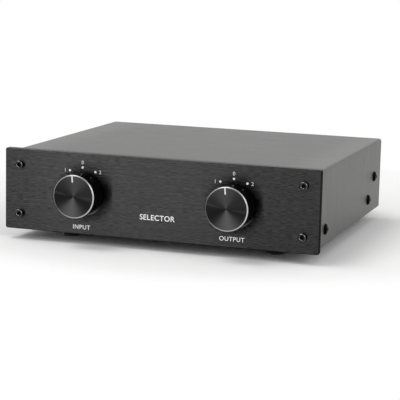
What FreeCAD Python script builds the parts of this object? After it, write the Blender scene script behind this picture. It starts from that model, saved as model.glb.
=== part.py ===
"""Speaker selector switch: a low metal case with two rotary selector knobs and sixteen binding posts.

The left knob picks one of two amplifiers, the right knob one of two pairs of speakers.
Frame: X to the right, Y to the back, Z up, millimetres. The origin is on the standing plane, under the
middle of the whole object, so the knobs reach as far forwards of it as the binding posts reach back.
"""
import FreeCAD, Part
import math
import os

from FreeCAD import Placement, Rotation, Vector

# ------------------------------------------------------------------ driving sizes, mm and degrees
# Front panel
PANEL_WIDTH = 225.0
PANEL_HEIGHT = 56.4
PANEL_THICKNESS = 4.0
PANEL_CORNER_R = 1.5
PANEL_EDGE_R = 0.6
PANEL_OVERHANG_X = 2.5       # panel past the side of the case
PANEL_OVERHANG_Z = 2.3       # panel past the top and the bottom of the case
PANEL_SCREW_INSET = 11.2     # screw axis from the end of the panel
PANEL_SCREW_SPACING = 34.0   # between the upper and the lower screw

# Case: folded sheet
CASE_LENGTH = 188.5          # from the back of the panel to the rear edge
SHEET = 1.5
BEND_R = 2.0                 # outside radius of a fold
SHEET_FIT = 0.1              # between two sheets that lie on each other
FOLD_RELIEF = 1.0            # notch above and below a flange that is folded from an edge
TRAY_FLANGE = 20.0           # height of the tray's side flanges
REAR_SIDE_FLANGE_LENGTH = 30.0
REAR_SIDE_FLANGE_HEIGHT = 22.0
REAR_FLOOR_FLANGE_LENGTH = 26.0
SIDE_SCREW_HEIGHT = 10.7     # low side screws above the underside of the case
FRONT_SIDE_SCREW_SETBACK = 20.7   # behind the panel
MIDDLE_SIDE_SCREW_SETBACK = 39.7  # ahead of the rear edge
REAR_SIDE_SCREW_SETBACK = 21.7    # ahead of the rear edge
REAR_SIDE_SCREW_HEIGHT = 25.8     # above the underside of the case

# Feet
FOOT_HEIGHT = 9.5
FOOT_TOP_D = 13.0
FOOT_BOTTOM_D = 11.5
FOOT_RECESS_D = 7.0
FOOT_RECESS_DEPTH = 5.0
FOOT_INSET_X = 35.0          # foot axis from the side of the case
FOOT_INSET_FRONT = 26.0      # foot axis behind the panel
FOOT_INSET_REAR = 15.0       # foot axis ahead of the rear edge

# Screws and nuts
THREAD_FIT = 0.05            # radial, between a thread and what it screws into
HOLE_FIT = 0.2               # radial, between a screw and a plain hole
M3 = 3.0
M4 = 4.0
CAP_HEAD_D = 5.5
CAP_HEAD_H = 3.0
CAP_HEAD_EDGE = 0.33         # chamfer round the head
CAP_SCREW_LENGTH = 9.5
M3_SOCKET = 2.5              # across the flats
BUTTON_HEAD_D = 7.6
BUTTON_HEAD_H = 2.0
BUTTON_RIM_H = 0.4
BUTTON_FLAT_D = 4.2
BUTTON_SCREW_LENGTH = 8.0
M4_SOCKET = 2.5
SOCKET_DEPTH = 1.5
SOCKET_LEAD = 0.2            # chamfer at the mouth of a socket, past its corners
M3_INSERT_D = 5.5
M3_INSERT_LENGTH = 4.0
M4_INSERT_D = 7.0
M4_INSERT_LENGTH = 5.0
PAN_HEAD_D = 5.8
PAN_HEAD_H = 2.2
PAN_HEAD_EDGE = 0.45
CROSS_SPAN = 3.5             # cross recess of the pan head
CROSS_WIDTH = 1.2
CROSS_DEPTH = 1.1
FOOT_SCREW_SPARE = 0.8       # thread past the nut
M3_NUT_FLATS = 5.5
M3_NUT_H = 2.4

# Knobs
SWITCH_X = 54.0              # knob axes left and right of the middle
SWITCH_RISE = 0.5            # knob axes above the middle of the panel
KNOB_D = 29.6
KNOB_LENGTH = 16.0
KNOB_GAP = 1.2               # between the knob and the panel
KNOB_CHAMFER = 0.7
KNOB_REAR_CHAMFER = 0.5
KNOB_WALL = 5.0              # rim around the hollow at the back of the knob
KNOB_NUT_CLEARANCE = 1.5     # ahead of the bushing, inside the knob
KNOB_BORE_END = 3.0          # metal between the shaft hole and the knob's face
POINTER_WIDTH = 1.0
POINTER_LENGTH = 5.2
POINTER_DEPTH = 0.25
LEFT_POINTER_SKEW = -4.3     # as the knob is clamped on its shaft, clockwise from the front
RIGHT_POINTER_SKEW = -5.0
SHAFT_D = 6.0
SHAFT_FLAT = 1.5             # taken off the shaft's round under the set screw
SHAFT_END_GAP = 0.5
SHAFT_FIT = 0.05             # radial running fit of the shaft in its bushing
KNOB_BORE_FIT = 0.03         # radial fit of the knob on the shaft
GRUB_LENGTH = 6.0
GRUB_SOCKET = 1.5
GRUB_SOCKET_DEPTH = 2.0
GRUB_SETBACK = 6.0           # behind the face of the knob

# Rotary switches
BUSHING_D = 9.0
BUSHING_SPARE = 0.8          # thread ahead of the nut
BUSHING_NUT_FLATS = 12.0
BUSHING_NUT_H = 2.5
WASHER_D = 14.0
WASHER_H = 0.8
PLATE_WIDTH = 36.0
PLATE_HEIGHT = 30.0
PLATE_T = 1.5
PLATE_CORNER_R = 3.0
TIE_X = 14.0                 # tie screws left and right of the shaft
SPACER_D = 5.0
TIE_HEAD_H = 2.0
SHOULDER_D = 8.0             # collar of the shaft behind its bushing
SHOULDER_T = 0.5
END_PLAY = 0.1               # of the collar against the plate
WHEEL_D = 18.0
WHEEL_T = 2.0
WHEEL_FIT = 0.02             # wheel and rotors on the shaft
DETENT_STEP = 30.0
NOTCH_R = 1.25
CLICK_R = 1.0                # rounded nose of the click spring
CLICK_GAP = 0.15             # between nose and notch
CLICK_LEAF_T = 0.4
CLICK_LEAF_WIDTH = 2.2
CLICK_LEAF_REACH = 12.4      # from the shaft's axis to the leaf's end
LUG_WIDTH = 3.0
LUG_HEIGHT = 1.6
STOP_TAB_WIDTH = 3.0
STOP_TAB_REACH = 2.4         # past the rim of the wheel
STOP_PIN_D = 2.4
STOP_PIN_GAP = 0.4           # between a stop pin and the rim of the wheel
STOP_PLAY = 0.8              # degrees of slack between tab and pin at the end of travel
FRAME_GAP = 1.0              # between the wheel and the frame behind it
FRAME_T = 1.2
WAFER_D = 34.0
WAFER_T = 1.6
WAFER_BORE = 14.4
FIRST_WAFER_GAP = 9.0
WAFER_SPACING = 14.0
ROTOR_D = 14.0
BLADE_INNER_D = 7.6
BLADE_OUTER_D = 13.2
BLADE_T = 0.4
BLADE_SPAN = 150.0           # degrees
TAIL_WIDTH = 4.4
TAIL_THICKNESS = 2.2
TAIL_SPARE = 2.0             # past the rear rotor
CLIP_WIDTH = 2.0
CLIP_T = 0.4
CLIP_LIFT = 0.1              # between a clip and the turning blade
CLIP_INNER_R = 5.2
CLIP_REACH = 3.0             # solder tail past the rim of the wafer
RIVET_D = 2.0
RIVET_R = 12.0               # rivets from the shaft's axis
RIVET_HEAD_D = 3.0
RIVET_HEAD_H = 0.4
FRONT_CLIP_ANGLES = (30.0, 90.0, 150.0, 210.0, 270.0, 330.0)
REAR_CLIP_ANGLES = (60.0, 90.0, 120.0, 240.0, 270.0, 300.0)

# Binding posts
POST_PITCH = 19.0            # between neighbouring sockets, across and up
GROUP_PITCH = 48.0           # between neighbouring groups of four
SOCKET_D = 4.1
POST_SOCKET_DEPTH = 12.5
STUD_D = 6.0
STUD_FIT = 0.05              # radial running fit of the cap on the stud
SHANK_D = 5.0
COLLAR_D = 9.0
COLLAR_H = 1.5
WIRE_HOLE_D = 2.5
WIRE_HOLE_HEIGHT = 2.4       # above the collar
BASE_D = 11.5
BASE_H = 3.0
BASE_NECK_D = 8.0
CAP_D = 11.0
CAP_LENGTH = 18.0
CAP_LIP = 1.0
CAP_MOUTH_D = 4.9
CAP_CHAMFER = 0.7
CAP_GAP = 0.1                # between a closed cap and the collar
CAP_END_GAP = 0.2            # between the stud's end and the lip of the cap
CAP_FLUTES = 14
FLUTE_D = 1.5
FLUTE_OFFSET = 0.4           # of a flute's axis outside the side of the cap
INSULATOR_D = 12.0
INSULATOR_H = 1.5
TERMINAL_D = 9.0
TERMINAL_T = 0.8
TERMINAL_TAB = 4.0
TERMINAL_TAB_CORNER_R = 1.0
TERMINAL_REACH = 12.0        # from the post's axis to the tab's end
TERMINAL_HOLE_D = 1.8
POST_NUT_FLATS = 8.0
POST_NUT_H = 4.0
SHANK_SPARE = 1.0

# Wiring
WIRE_D = 1.8
WIRE_BEND_R = 15.0
WIRE_JOINT = 0.05            # of solder between a wire and its terminal
WIRE_STRAIGHT_REAR = 30.0    # straight run ahead of a post's terminal
WIRE_STRAIGHT_FRONT = 25.0   # straight run behind a wafer
WIRE_CLIP_ANGLES = ((0, 150.0), (1, 120.0), (1, 60.0), (0, 30.0))   # wafer and clip of a switch's four wires

# ------------------------------------------------------------------ places that follow from the sizes
CASE_WIDTH = PANEL_WIDTH - 2 * PANEL_OVERHANG_X
CASE_HEIGHT = PANEL_HEIGHT - 2 * PANEL_OVERHANG_Z
CASE_BOTTOM = FOOT_HEIGHT
CASE_TOP = CASE_BOTTOM + CASE_HEIGHT
PANEL_BOTTOM = CASE_BOTTOM - PANEL_OVERHANG_Z
PANEL_TOP = PANEL_BOTTOM + PANEL_HEIGHT
AXIS_Z = PANEL_BOTTOM + PANEL_HEIGHT / 2
SWITCH_Z = AXIS_Z + SWITCH_RISE

KNOB_REACH = KNOB_GAP + KNOB_LENGTH
POST_REACH = BASE_H + COLLAR_H + CAP_GAP + CAP_LENGTH
DEPTH = KNOB_REACH + PANEL_THICKNESS + CASE_LENGTH + POST_REACH
PANEL_FRONT = KNOB_REACH - DEPTH / 2
PANEL_BACK = PANEL_FRONT + PANEL_THICKNESS
REAR_FACE = PANEL_BACK + CASE_LENGTH
REAR_INNER = REAR_FACE - SHEET

TRAY_HALF_WIDTH = CASE_WIDTH / 2 - SHEET - SHEET_FIT
TRAY_INNER_X = TRAY_HALF_WIDTH - SHEET
TRAY_FLOOR = CASE_BOTTOM + SHEET
TRAY_WALL_BACK = PANEL_BACK + SHEET
INNER_TOP = CASE_TOP - SHEET - SHEET_FIT
PANEL_SCREW_X = PANEL_WIDTH / 2 - PANEL_SCREW_INSET
FOOT_X = CASE_WIDTH / 2 - FOOT_INSET_X
FRONT_FOOT_Y = PANEL_BACK + FOOT_INSET_FRONT
REAR_FOOT_Y = REAR_FACE - FOOT_INSET_REAR

BUSHING_FRONT = PANEL_FRONT - WASHER_H - BUSHING_NUT_H - BUSHING_SPARE
HOLLOW_END = BUSHING_FRONT - KNOB_NUT_CLEARANCE
KNOB_BACK = PANEL_FRONT - KNOB_GAP
KNOB_FACE = KNOB_BACK - KNOB_LENGTH
SHAFT_FRONT = KNOB_FACE + KNOB_BORE_END + SHAFT_END_GAP
PLATE_FRONT = TRAY_WALL_BACK
PLATE_BACK = PLATE_FRONT + PLATE_T
SHOULDER_FRONT = PLATE_BACK + END_PLAY
WHEEL_FRONT = SHOULDER_FRONT + SHOULDER_T
WHEEL_BACK = WHEEL_FRONT + WHEEL_T
FRAME_FRONT = WHEEL_BACK + FRAME_GAP
FRAME_BACK = FRAME_FRONT + FRAME_T
WAFER_FRONTS = (FRAME_BACK + FIRST_WAFER_GAP, FRAME_BACK + FIRST_WAFER_GAP + WAFER_SPACING)
WAFER_STACK_END = WAFER_FRONTS[1] + WAFER_T
TAIL_END = WAFER_STACK_END + TAIL_SPARE
CLIP_TIP_R = WAFER_D / 2 + CLIP_REACH
CLIP_RISE = BLADE_T + CLIP_LIFT
TERMINAL_BACK = REAR_INNER - INSULATOR_H
TERMINAL_FRONT = TERMINAL_BACK - TERMINAL_T

BACK = Vector(0, 1, 0)
FRONT = Vector(0, -1, 0)
UP = Vector(0, 0, 1)
DOWN = Vector(0, 0, -1)


# ------------------------------------------------------------------ shapes used in several places
def block(x0, x1, y0, y1, z0, z1):
    """A box between two corners."""
    return Part.makeBox(x1 - x0, y1 - y0, z1 - z0, Vector(x0, y0, z0))


def rod(diameter, y0, y1, x, z):
    """A round bar along Y."""
    return Part.makeCylinder(diameter / 2, y1 - y0, Vector(x, y0, z), BACK)


def hexagon(across_flats, height):
    """A six-sided bar standing on the origin."""
    corner_r = across_flats / math.sqrt(3)
    corners = [Vector(corner_r * math.cos(math.radians(a)), corner_r * math.sin(math.radians(a)), 0)
               for a in range(0, 361, 60)]
    return Part.Face(Part.makePolygon(corners)).extrude(Vector(0, 0, height))


def turned(profile):
    """A solid of revolution about Z from (radius, height) points."""
    points = [Vector(radius, 0, height) for radius, height in profile]
    face = Part.Face(Part.makePolygon(points + points[:1]))
    return face.revolve(Vector(0, 0, 0), UP, 360)


def seat(shape, at, outward):
    """A copy of a shape that is drawn along +Z, standing at a point and facing outward."""
    placed = shape.copy()
    placed.Placement = Placement(at, Rotation(UP, outward))
    return placed


def rounded_face(corners, radii, lift):
    """A face whose corners are rounded by tangent arcs; lift turns (u, v) into a point."""
    points = [lift(u, v) for u, v in corners]
    stretches = []
    for i, corner in enumerate(points):
        back = (points[i - 1] - corner).normalize()
        ahead = (points[(i + 1) % len(points)] - corner).normalize()
        half = math.acos(back.dot(ahead)) / 2
        setback = radii[i] / math.tan(half)
        inward = (back + ahead).normalize()
        middle = corner + inward * (radii[i] / math.sin(half) - radii[i])
        stretches.append((corner + back * setback, middle, corner + ahead * setback))
    edges = []
    for i, (start, middle, end) in enumerate(stretches):
        if radii[i] > 0:
            edges.append(Part.Arc(start, middle, end).toShape())
        edges.append(Part.LineSegment(end, stretches[(i + 1) % len(stretches)][0]).toShape())
    return Part.Face(Part.Wire(edges))


def rectangle(u0, u1, v0, v1):
    """Corners in the order: low left, low right, high right, high left."""
    return [(u0, v0), (u1, v0), (u1, v1), (u0, v1)]


def upright(u, v):
    """Lift a drawing into the upright X-Z plane."""
    return Vector(u, 0, v)


def flat(u, v):
    """Lift a drawing into the level X-Y plane."""
    return Vector(u, v, 0)


def upright_plate(corners, radii, y0, y1):
    """A plate drawn in the X-Z plane, from y0 to y1."""
    plate = rounded_face(corners, radii, upright).extrude(Vector(0, y1 - y0, 0))
    plate.translate(Vector(0, y0, 0))
    return plate


def group(shapes):
    """Separate solids kept together as one node."""
    return Part.makeCompound(shapes)


def polar(radius, angle):
    """X and Z offsets of a point around a shaft; angle in degrees from +X towards +Z."""
    return radius * math.cos(math.radians(angle)), radius * math.sin(math.radians(angle))


# ------------------------------------------------------------------ fasteners, drawn along +Z
def socket_screw(head, thread, length, socket_flats, head_height):
    """A screw with a hexagon socket; the underside of its head is at the origin."""
    shank = Part.makeCylinder(thread / 2, length, Vector(0, 0, -length))
    socket = hexagon(socket_flats, SOCKET_DEPTH)
    socket.translate(Vector(0, 0, head_height - SOCKET_DEPTH))
    inner = socket_flats / 2
    mouth = inner / math.cos(math.radians(30)) + SOCKET_LEAD
    lead = Part.makeCone(inner, mouth, mouth - inner, Vector(0, 0, head_height - mouth + inner))
    return head.fuse(shank).removeSplitter().cut([socket, lead])


def cap_screw():
    """M3 screw with a cylindrical head."""
    radius = CAP_HEAD_D / 2
    head = turned([(0, 0), (radius, 0), (radius, CAP_HEAD_H - CAP_HEAD_EDGE),
                   (radius - CAP_HEAD_EDGE, CAP_HEAD_H), (0, CAP_HEAD_H)])
    return socket_screw(head, M3, CAP_SCREW_LENGTH, M3_SOCKET, CAP_HEAD_H)


def button_screw():
    """M4 screw with a domed head."""
    rim = BUTTON_HEAD_D / 2
    top = BUTTON_FLAT_D / 2
    centre = ((rim ** 2 + BUTTON_RIM_H ** 2 - top ** 2 - BUTTON_HEAD_H ** 2)
              / (2 * (BUTTON_RIM_H - BUTTON_HEAD_H)))
    dome = Part.makeSphere(math.hypot(rim, BUTTON_RIM_H - centre), Vector(0, 0, centre))
    head = Part.makeCylinder(rim, BUTTON_HEAD_H).common(dome)
    return socket_screw(head, M4, BUTTON_SCREW_LENGTH, M4_SOCKET, BUTTON_HEAD_H)


def insert(diameter, length, thread):
    """A round clinch nut that stands behind its sheet, from the origin downwards."""
    body = Part.makeCylinder(diameter / 2, length, Vector(0, 0, -length))
    return body.cut(Part.makeCylinder(thread / 2 + THREAD_FIT, length, Vector(0, 0, -length)))


def hex_nut(across_flats, height, thread):
    """A nut standing on the origin."""
    return hexagon(across_flats, height).cut(Part.makeCylinder(thread / 2 + THREAD_FIT, height))


def ring(outer_d, inner_d, height):
    """A flat washer standing on the origin."""
    return Part.makeCylinder(outer_d / 2, height).cut(Part.makeCylinder(inner_d / 2, height))


# ------------------------------------------------------------------ case
def panel_screw_places():
    """Where the four panel screws go, on the front of the panel."""
    return [Vector(x, PANEL_FRONT, AXIS_Z + z)
            for x in (-PANEL_SCREW_X, PANEL_SCREW_X)
            for z in (-PANEL_SCREW_SPACING / 2, PANEL_SCREW_SPACING / 2)]


def low_side_screw_ys():
    """The low side screws along the case."""
    return (PANEL_BACK + FRONT_SIDE_SCREW_SETBACK, REAR_FACE - MIDDLE_SIDE_SCREW_SETBACK)


def side_screw_places():
    """Where the side screws go: (side, y, z), side is -1 or 1."""
    low_z = CASE_BOTTOM + SIDE_SCREW_HEIGHT
    rear = (REAR_FACE - REAR_SIDE_SCREW_SETBACK, CASE_BOTTOM + REAR_SIDE_SCREW_HEIGHT)
    return [(side, y, z) for side in (-1, 1) for y, z in [(y, low_z) for y in low_side_screw_ys()] + [rear]]


def side_holes(places):
    """Holes through both sides for the side screws."""
    return group([Part.makeCylinder(M4 / 2 + HOLE_FIT, 4 * SHEET,
                                    Vector(side * CASE_WIDTH / 2, y, z), Vector(-side, 0, 0))
                  for side, y, z in places])


def front_panel():
    """Solid aluminium plate with a softened front edge."""
    half = PANEL_WIDTH / 2
    plate = upright_plate(rectangle(-half, half, PANEL_BOTTOM, PANEL_TOP), [PANEL_CORNER_R] * 4,
                          PANEL_FRONT, PANEL_BACK)
    rim = [edge for edge in plate.Edges
           if edge.BoundBox.YMax < PANEL_FRONT + PANEL_EDGE_R / 2]
    plate = plate.makeFillet(PANEL_EDGE_R, rim)
    holes = [rod(M3 + 2 * HOLE_FIT, PANEL_FRONT, PANEL_BACK, at.x, at.z) for at in panel_screw_places()]
    holes += [rod(BUSHING_D + 2 * HOLE_FIT, PANEL_FRONT, PANEL_BACK, x, SWITCH_Z)
              for x in (-SWITCH_X, SWITCH_X)]
    return plate.cut(group(holes))


def top_cover():
    """Folded sheet: top and both sides in one, open below, in front and behind."""
    half = CASE_WIDTH / 2
    inner_r = max(BEND_R - SHEET, 0)
    outside = upright_plate(rectangle(-half, half, CASE_BOTTOM, CASE_TOP), [0, 0, BEND_R, BEND_R],
                            PANEL_BACK, REAR_FACE)
    inside = upright_plate(rectangle(SHEET - half, half - SHEET, CASE_BOTTOM - SHEET, CASE_TOP - SHEET),
                           [0, 0, inner_r, inner_r], PANEL_BACK, REAR_FACE)
    return outside.cut(inside).cut(side_holes(side_screw_places()))


def foot_places():
    """Axes of the four feet."""
    return [(x, y) for x in (-FOOT_X, FOOT_X) for y in (FRONT_FOOT_Y, REAR_FOOT_Y)]


def foot_holes():
    """Holes through the floor for the foot screws."""
    return group([Part.makeCylinder(M3 / 2 + HOLE_FIT, 4 * SHEET, Vector(x, y, CASE_BOTTOM - SHEET))
                  for x, y in foot_places()])


def chassis_tray():
    """Folded sheet: floor, two low side flanges and the wall behind the front panel."""
    width = TRAY_HALF_WIDTH
    inner_r = max(BEND_R - SHEET, 0)
    rear = REAR_INNER - SHEET_FIT
    outside = upright_plate(rectangle(-width, width, CASE_BOTTOM, CASE_BOTTOM + TRAY_FLANGE),
                            [BEND_R, BEND_R, 0, 0], PANEL_BACK, rear)
    inside = upright_plate(rectangle(-TRAY_INNER_X, TRAY_INNER_X, TRAY_FLOOR, CASE_TOP),
                           [inner_r, inner_r, 0, 0], PANEL_BACK, rear)
    wall = upright_plate(rectangle(-width, width, CASE_BOTTOM, INNER_TOP), [BEND_R] * 4,
                         PANEL_BACK, TRAY_WALL_BACK)
    holes = [rod(M3 + 2 * HOLE_FIT, PANEL_BACK, TRAY_WALL_BACK, at.x, at.z) for at in panel_screw_places()]
    holes += [rod(BUSHING_D + 2 * HOLE_FIT, PANEL_BACK, TRAY_WALL_BACK, x, SWITCH_Z)
              for x in (-SWITCH_X, SWITCH_X)]
    low_screws = [(side, y, z) for side, y, z in side_screw_places() if y in low_side_screw_ys()]
    tray = outside.cut(inside).fuse(wall).removeSplitter()
    return tray.cut(group(holes)).cut(side_holes(low_screws)).cut(foot_holes())


def rear_panel():
    """Folded sheet that carries the binding posts, with flanges along the sides and the floor."""
    width = TRAY_HALF_WIDTH
    flange_front = REAR_FACE - REAR_SIDE_FLANGE_LENGTH
    flange_low = CASE_BOTTOM + TRAY_FLANGE + SHEET_FIT
    inner_r = max(BEND_R - SHEET, 0)
    level = [(-width, flange_front), (width, flange_front), (width, REAR_FACE), (-width, REAR_FACE)]
    outside = rounded_face(level, [0, 0, BEND_R, BEND_R], flat).extrude(
        Vector(0, 0, REAR_SIDE_FLANGE_HEIGHT))
    hollow = [(SHEET - width, flange_front - SHEET), (width - SHEET, flange_front - SHEET),
              (width - SHEET, REAR_INNER), (SHEET - width, REAR_INNER)]
    inside = rounded_face(hollow, [0, 0, inner_r, inner_r], flat).extrude(
        Vector(0, 0, REAR_SIDE_FLANGE_HEIGHT))
    flanges = outside.cut(inside)
    flanges.translate(Vector(0, 0, flange_low))
    fold_x = width - BEND_R
    plate = block(-fold_x, fold_x, REAR_INNER, REAR_FACE, CASE_BOTTOM, INNER_TOP)
    below = upright_plate(rectangle(-width, width, CASE_BOTTOM, flange_low - FOLD_RELIEF),
                          [BEND_R, BEND_R, 0, 0], REAR_INNER, REAR_FACE)
    above = upright_plate(rectangle(-width, width, flange_low + REAR_SIDE_FLANGE_HEIGHT + FOLD_RELIEF,
                                    INNER_TOP), [0, 0, BEND_R, BEND_R], REAR_INNER, REAR_FACE)
    floor_x = TRAY_INNER_X - BEND_R
    floor = block(-floor_x, floor_x, REAR_FACE - REAR_FLOOR_FLANGE_LENGTH, REAR_FACE,
                  TRAY_FLOOR, TRAY_FLOOR + SHEET)
    rear_screws = [(side, y, z) for side, y, z in side_screw_places() if y not in low_side_screw_ys()]
    holes = group([rod(BASE_NECK_D + 2 * HOLE_FIT, REAR_INNER, REAR_FACE, post["x"], post["z"])
                   for post in posts()])
    panel = flanges.fuse([plate, below, above, floor]).removeSplitter()
    return panel.cut(side_holes(rear_screws)).cut(foot_holes()).cut(holes)


def rubber_foot():
    """A tapered foot with a recess below for its screw, standing on the origin."""
    low = FOOT_BOTTOM_D / 2
    recess = FOOT_RECESS_D / 2
    hole = M3 / 2 + HOLE_FIT
    return turned([(recess, 0), (low, 0), (FOOT_TOP_D / 2, FOOT_HEIGHT), (hole, FOOT_HEIGHT),
                   (hole, FOOT_RECESS_DEPTH), (recess, FOOT_RECESS_DEPTH)])


def foot_screw():
    """Pan-head screw through foot, floor and, behind, the rear panel's flange; head at the origin."""
    length = FOOT_HEIGHT - FOOT_RECESS_DEPTH + 2 * SHEET + M3_NUT_H + FOOT_SCREW_SPARE
    radius = PAN_HEAD_D / 2
    head = turned([(0, 0), (radius, 0), (radius, PAN_HEAD_H - PAN_HEAD_EDGE),
                   (radius - PAN_HEAD_EDGE, PAN_HEAD_H), (0, PAN_HEAD_H)])
    cross = [block(-a / 2, a / 2, -b / 2, b / 2, PAN_HEAD_H - CROSS_DEPTH, PAN_HEAD_H)
             for a, b in ((CROSS_SPAN, CROSS_WIDTH), (CROSS_WIDTH, CROSS_SPAN))]
    shank = Part.makeCylinder(M3 / 2, length, Vector(0, 0, -length))
    return head.fuse(shank).removeSplitter().cut(group(cross))


def feet():
    """The feet with their screws and nuts."""
    foot, screw, nut = rubber_foot(), foot_screw(), hex_nut(M3_NUT_FLATS, M3_NUT_H, M3)
    rear_floor = TRAY_FLOOR + SHEET
    return {
        "rubber_feet": group([seat(foot, Vector(x, y, 0), UP) for x, y in foot_places()]),
        "foot_screws": group([seat(screw, Vector(x, y, FOOT_RECESS_DEPTH), DOWN)
                              for x, y in foot_places()]),
        "foot_nuts": group([seat(nut, Vector(x, y, rear_floor if y > 0 else TRAY_FLOOR), UP)
                            for x, y in foot_places()]),
    }


def case_fasteners():
    """Panel screws, side screws and the clinch nuts they go into."""
    low_insert = insert(M4_INSERT_D, M4_INSERT_LENGTH, M4)
    panel_insert = insert(M3_INSERT_D, M3_INSERT_LENGTH, M3)
    button = button_screw()
    cap = cap_screw()
    sides = [(Vector(side, 0, 0), y, z) for side, y, z in side_screw_places()]
    return {
        "panel_screws": group([seat(cap, at, FRONT) for at in panel_screw_places()]),
        "panel_clinch_nuts": group([seat(panel_insert, Vector(at.x, TRAY_WALL_BACK, at.z), FRONT)
                                    for at in panel_screw_places()]),
        "cover_screws": group([seat(button, out * (CASE_WIDTH / 2) + Vector(0, y, z), out)
                               for out, y, z in sides]),
        "cover_clinch_nuts": group([seat(low_insert, out * TRAY_INNER_X + Vector(0, y, z), out)
                                    for out, y, z in sides]),
    }


# ------------------------------------------------------------------ knobs and shafts
def knob(x, skew):
    """Turned aluminium knob with a bright chamfer, hollow behind for the bushing's nut."""
    radius = KNOB_D / 2
    hollow = radius - KNOB_WALL
    bore = SHAFT_D / 2 + KNOB_BORE_FIT
    depth = KNOB_BACK - HOLLOW_END
    body = turned([(hollow, 0), (radius - KNOB_REAR_CHAMFER, 0), (radius, KNOB_REAR_CHAMFER),
                   (radius, KNOB_LENGTH - KNOB_CHAMFER), (radius - KNOB_CHAMFER, KNOB_LENGTH),
                   (0, KNOB_LENGTH), (0, KNOB_LENGTH - KNOB_BORE_END),
                   (bore, KNOB_LENGTH - KNOB_BORE_END), (bore, depth), (hollow, depth)])
    body = seat(body, Vector(x, KNOB_BACK, SWITCH_Z), FRONT)
    groove = block(x - POINTER_WIDTH / 2, x + POINTER_WIDTH / 2, KNOB_FACE, KNOB_FACE + POINTER_DEPTH,
                   SWITCH_Z + radius - POINTER_LENGTH, SWITCH_Z + radius)
    grub_hole = Part.makeCylinder(M3 / 2 + THREAD_FIT, radius, Vector(x, grub_y(), SWITCH_Z), DOWN)
    body = body.cut(grub_hole)
    groove.rotate(Vector(x, 0, SWITCH_Z), BACK, skew)
    return body.cut(groove)


def grub_y():
    """Where the set screw crosses the shaft."""
    return KNOB_FACE + GRUB_SETBACK


def grub_screw(x):
    """Headless set screw that clamps the knob on the flat of the shaft."""
    top = SWITCH_Z - SHAFT_D / 2 + SHAFT_FLAT
    body = Part.makeCylinder(M3 / 2, GRUB_LENGTH, Vector(x, grub_y(), top), DOWN)
    socket = seat(hexagon(GRUB_SOCKET, GRUB_SOCKET_DEPTH),
                  Vector(x, grub_y(), top - GRUB_LENGTH + GRUB_SOCKET_DEPTH), DOWN)
    return body.cut(socket)


def shaft(x):
    """Steel shaft: flatted end in the knob, collar behind the bushing, flat tail through the rotors."""
    front = rod(SHAFT_D, SHAFT_FRONT, SHOULDER_FRONT, x, SWITCH_Z)
    flat_cut = block(x - SHAFT_D, x + SHAFT_D, SHAFT_FRONT, HOLLOW_END,
                     SWITCH_Z - SHAFT_D, SWITCH_Z - SHAFT_D / 2 + SHAFT_FLAT)
    collar = rod(SHOULDER_D, SHOULDER_FRONT, WHEEL_FRONT, x, SWITCH_Z)
    seat_part = rod(SHAFT_D, WHEEL_FRONT, WHEEL_BACK, x, SWITCH_Z)
    tail = block(x - TAIL_THICKNESS / 2, x + TAIL_THICKNESS / 2, WHEEL_BACK, TAIL_END,
                 SWITCH_Z - TAIL_WIDTH / 2, SWITCH_Z + TAIL_WIDTH / 2)
    return front.cut(flat_cut).fuse([collar, seat_part, tail]).removeSplitter()


# ------------------------------------------------------------------ rotary switches
def switch_plate(x):
    """Front plate of the switch with its threaded bushing."""
    plate = upright_plate(rectangle(x - PLATE_WIDTH / 2, x + PLATE_WIDTH / 2,
                                    SWITCH_Z - PLATE_HEIGHT / 2, SWITCH_Z + PLATE_HEIGHT / 2),
                          [PLATE_CORNER_R] * 4, PLATE_FRONT, PLATE_BACK)
    bushing = rod(BUSHING_D, BUSHING_FRONT, PLATE_BACK, x, SWITCH_Z)
    bore = rod(SHAFT_D + 2 * SHAFT_FIT, BUSHING_FRONT, PLATE_BACK, x, SWITCH_Z)
    ties = [rod(M3 + 2 * THREAD_FIT, PLATE_FRONT, PLATE_BACK, tie_x, SWITCH_Z) for tie_x in tie_xs(x)]
    return plate.fuse(bushing).removeSplitter().cut(group([bore] + ties))


def tie_xs(x):
    """The two tie screws beside a shaft."""
    return (x - TIE_X, x + TIE_X)


def detent_wheel(x):
    """Notched wheel that gives the clicks, with the tab that stops the travel."""
    wheel = rod(WHEEL_D, WHEEL_FRONT, WHEEL_BACK, x, SWITCH_Z)
    tab = block(x - STOP_TAB_WIDTH / 2, x + STOP_TAB_WIDTH / 2, WHEEL_FRONT, WHEEL_BACK,
                SWITCH_Z - WHEEL_D / 2 - STOP_TAB_REACH, SWITCH_Z - WHEEL_D / 2 + NOTCH_R)
    notches = []
    for step in range(-2, 3):
        dx, dz = polar(WHEEL_D / 2, 90 + step * DETENT_STEP)
        notches.append(rod(2 * NOTCH_R, WHEEL_FRONT, WHEEL_BACK, x + dx, SWITCH_Z + dz))
    bore = rod(SHAFT_D + 2 * WHEEL_FIT, WHEEL_FRONT, WHEEL_BACK, x, SWITCH_Z)
    return wheel.fuse(tab).removeSplitter().cut(group(notches + [bore]))


def click_axis_r():
    """The nose of the click spring, from the shaft's axis."""
    return WHEEL_D / 2 - NOTCH_R + CLICK_GAP + CLICK_R


def leaf_low():
    """Underside of the click spring's leaf above the shaft's axis."""
    return click_axis_r() + CLICK_R - CLICK_LEAF_T


def click_spring(x):
    """Leaf spring across the top of the wheel; its rounded nose drops into a notch."""
    middle_y = (WHEEL_FRONT + WHEEL_BACK) / 2
    front, back = middle_y - CLICK_LEAF_WIDTH / 2, middle_y + CLICK_LEAF_WIDTH / 2
    low = SWITCH_Z + leaf_low()
    leaf = block(x - CLICK_LEAF_REACH, x + CLICK_LEAF_REACH, front, back, low, low + CLICK_LEAF_T)
    nose = rod(2 * CLICK_R, front, back, x, SWITCH_Z + click_axis_r())
    return leaf.fuse(nose).removeSplitter()


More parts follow.
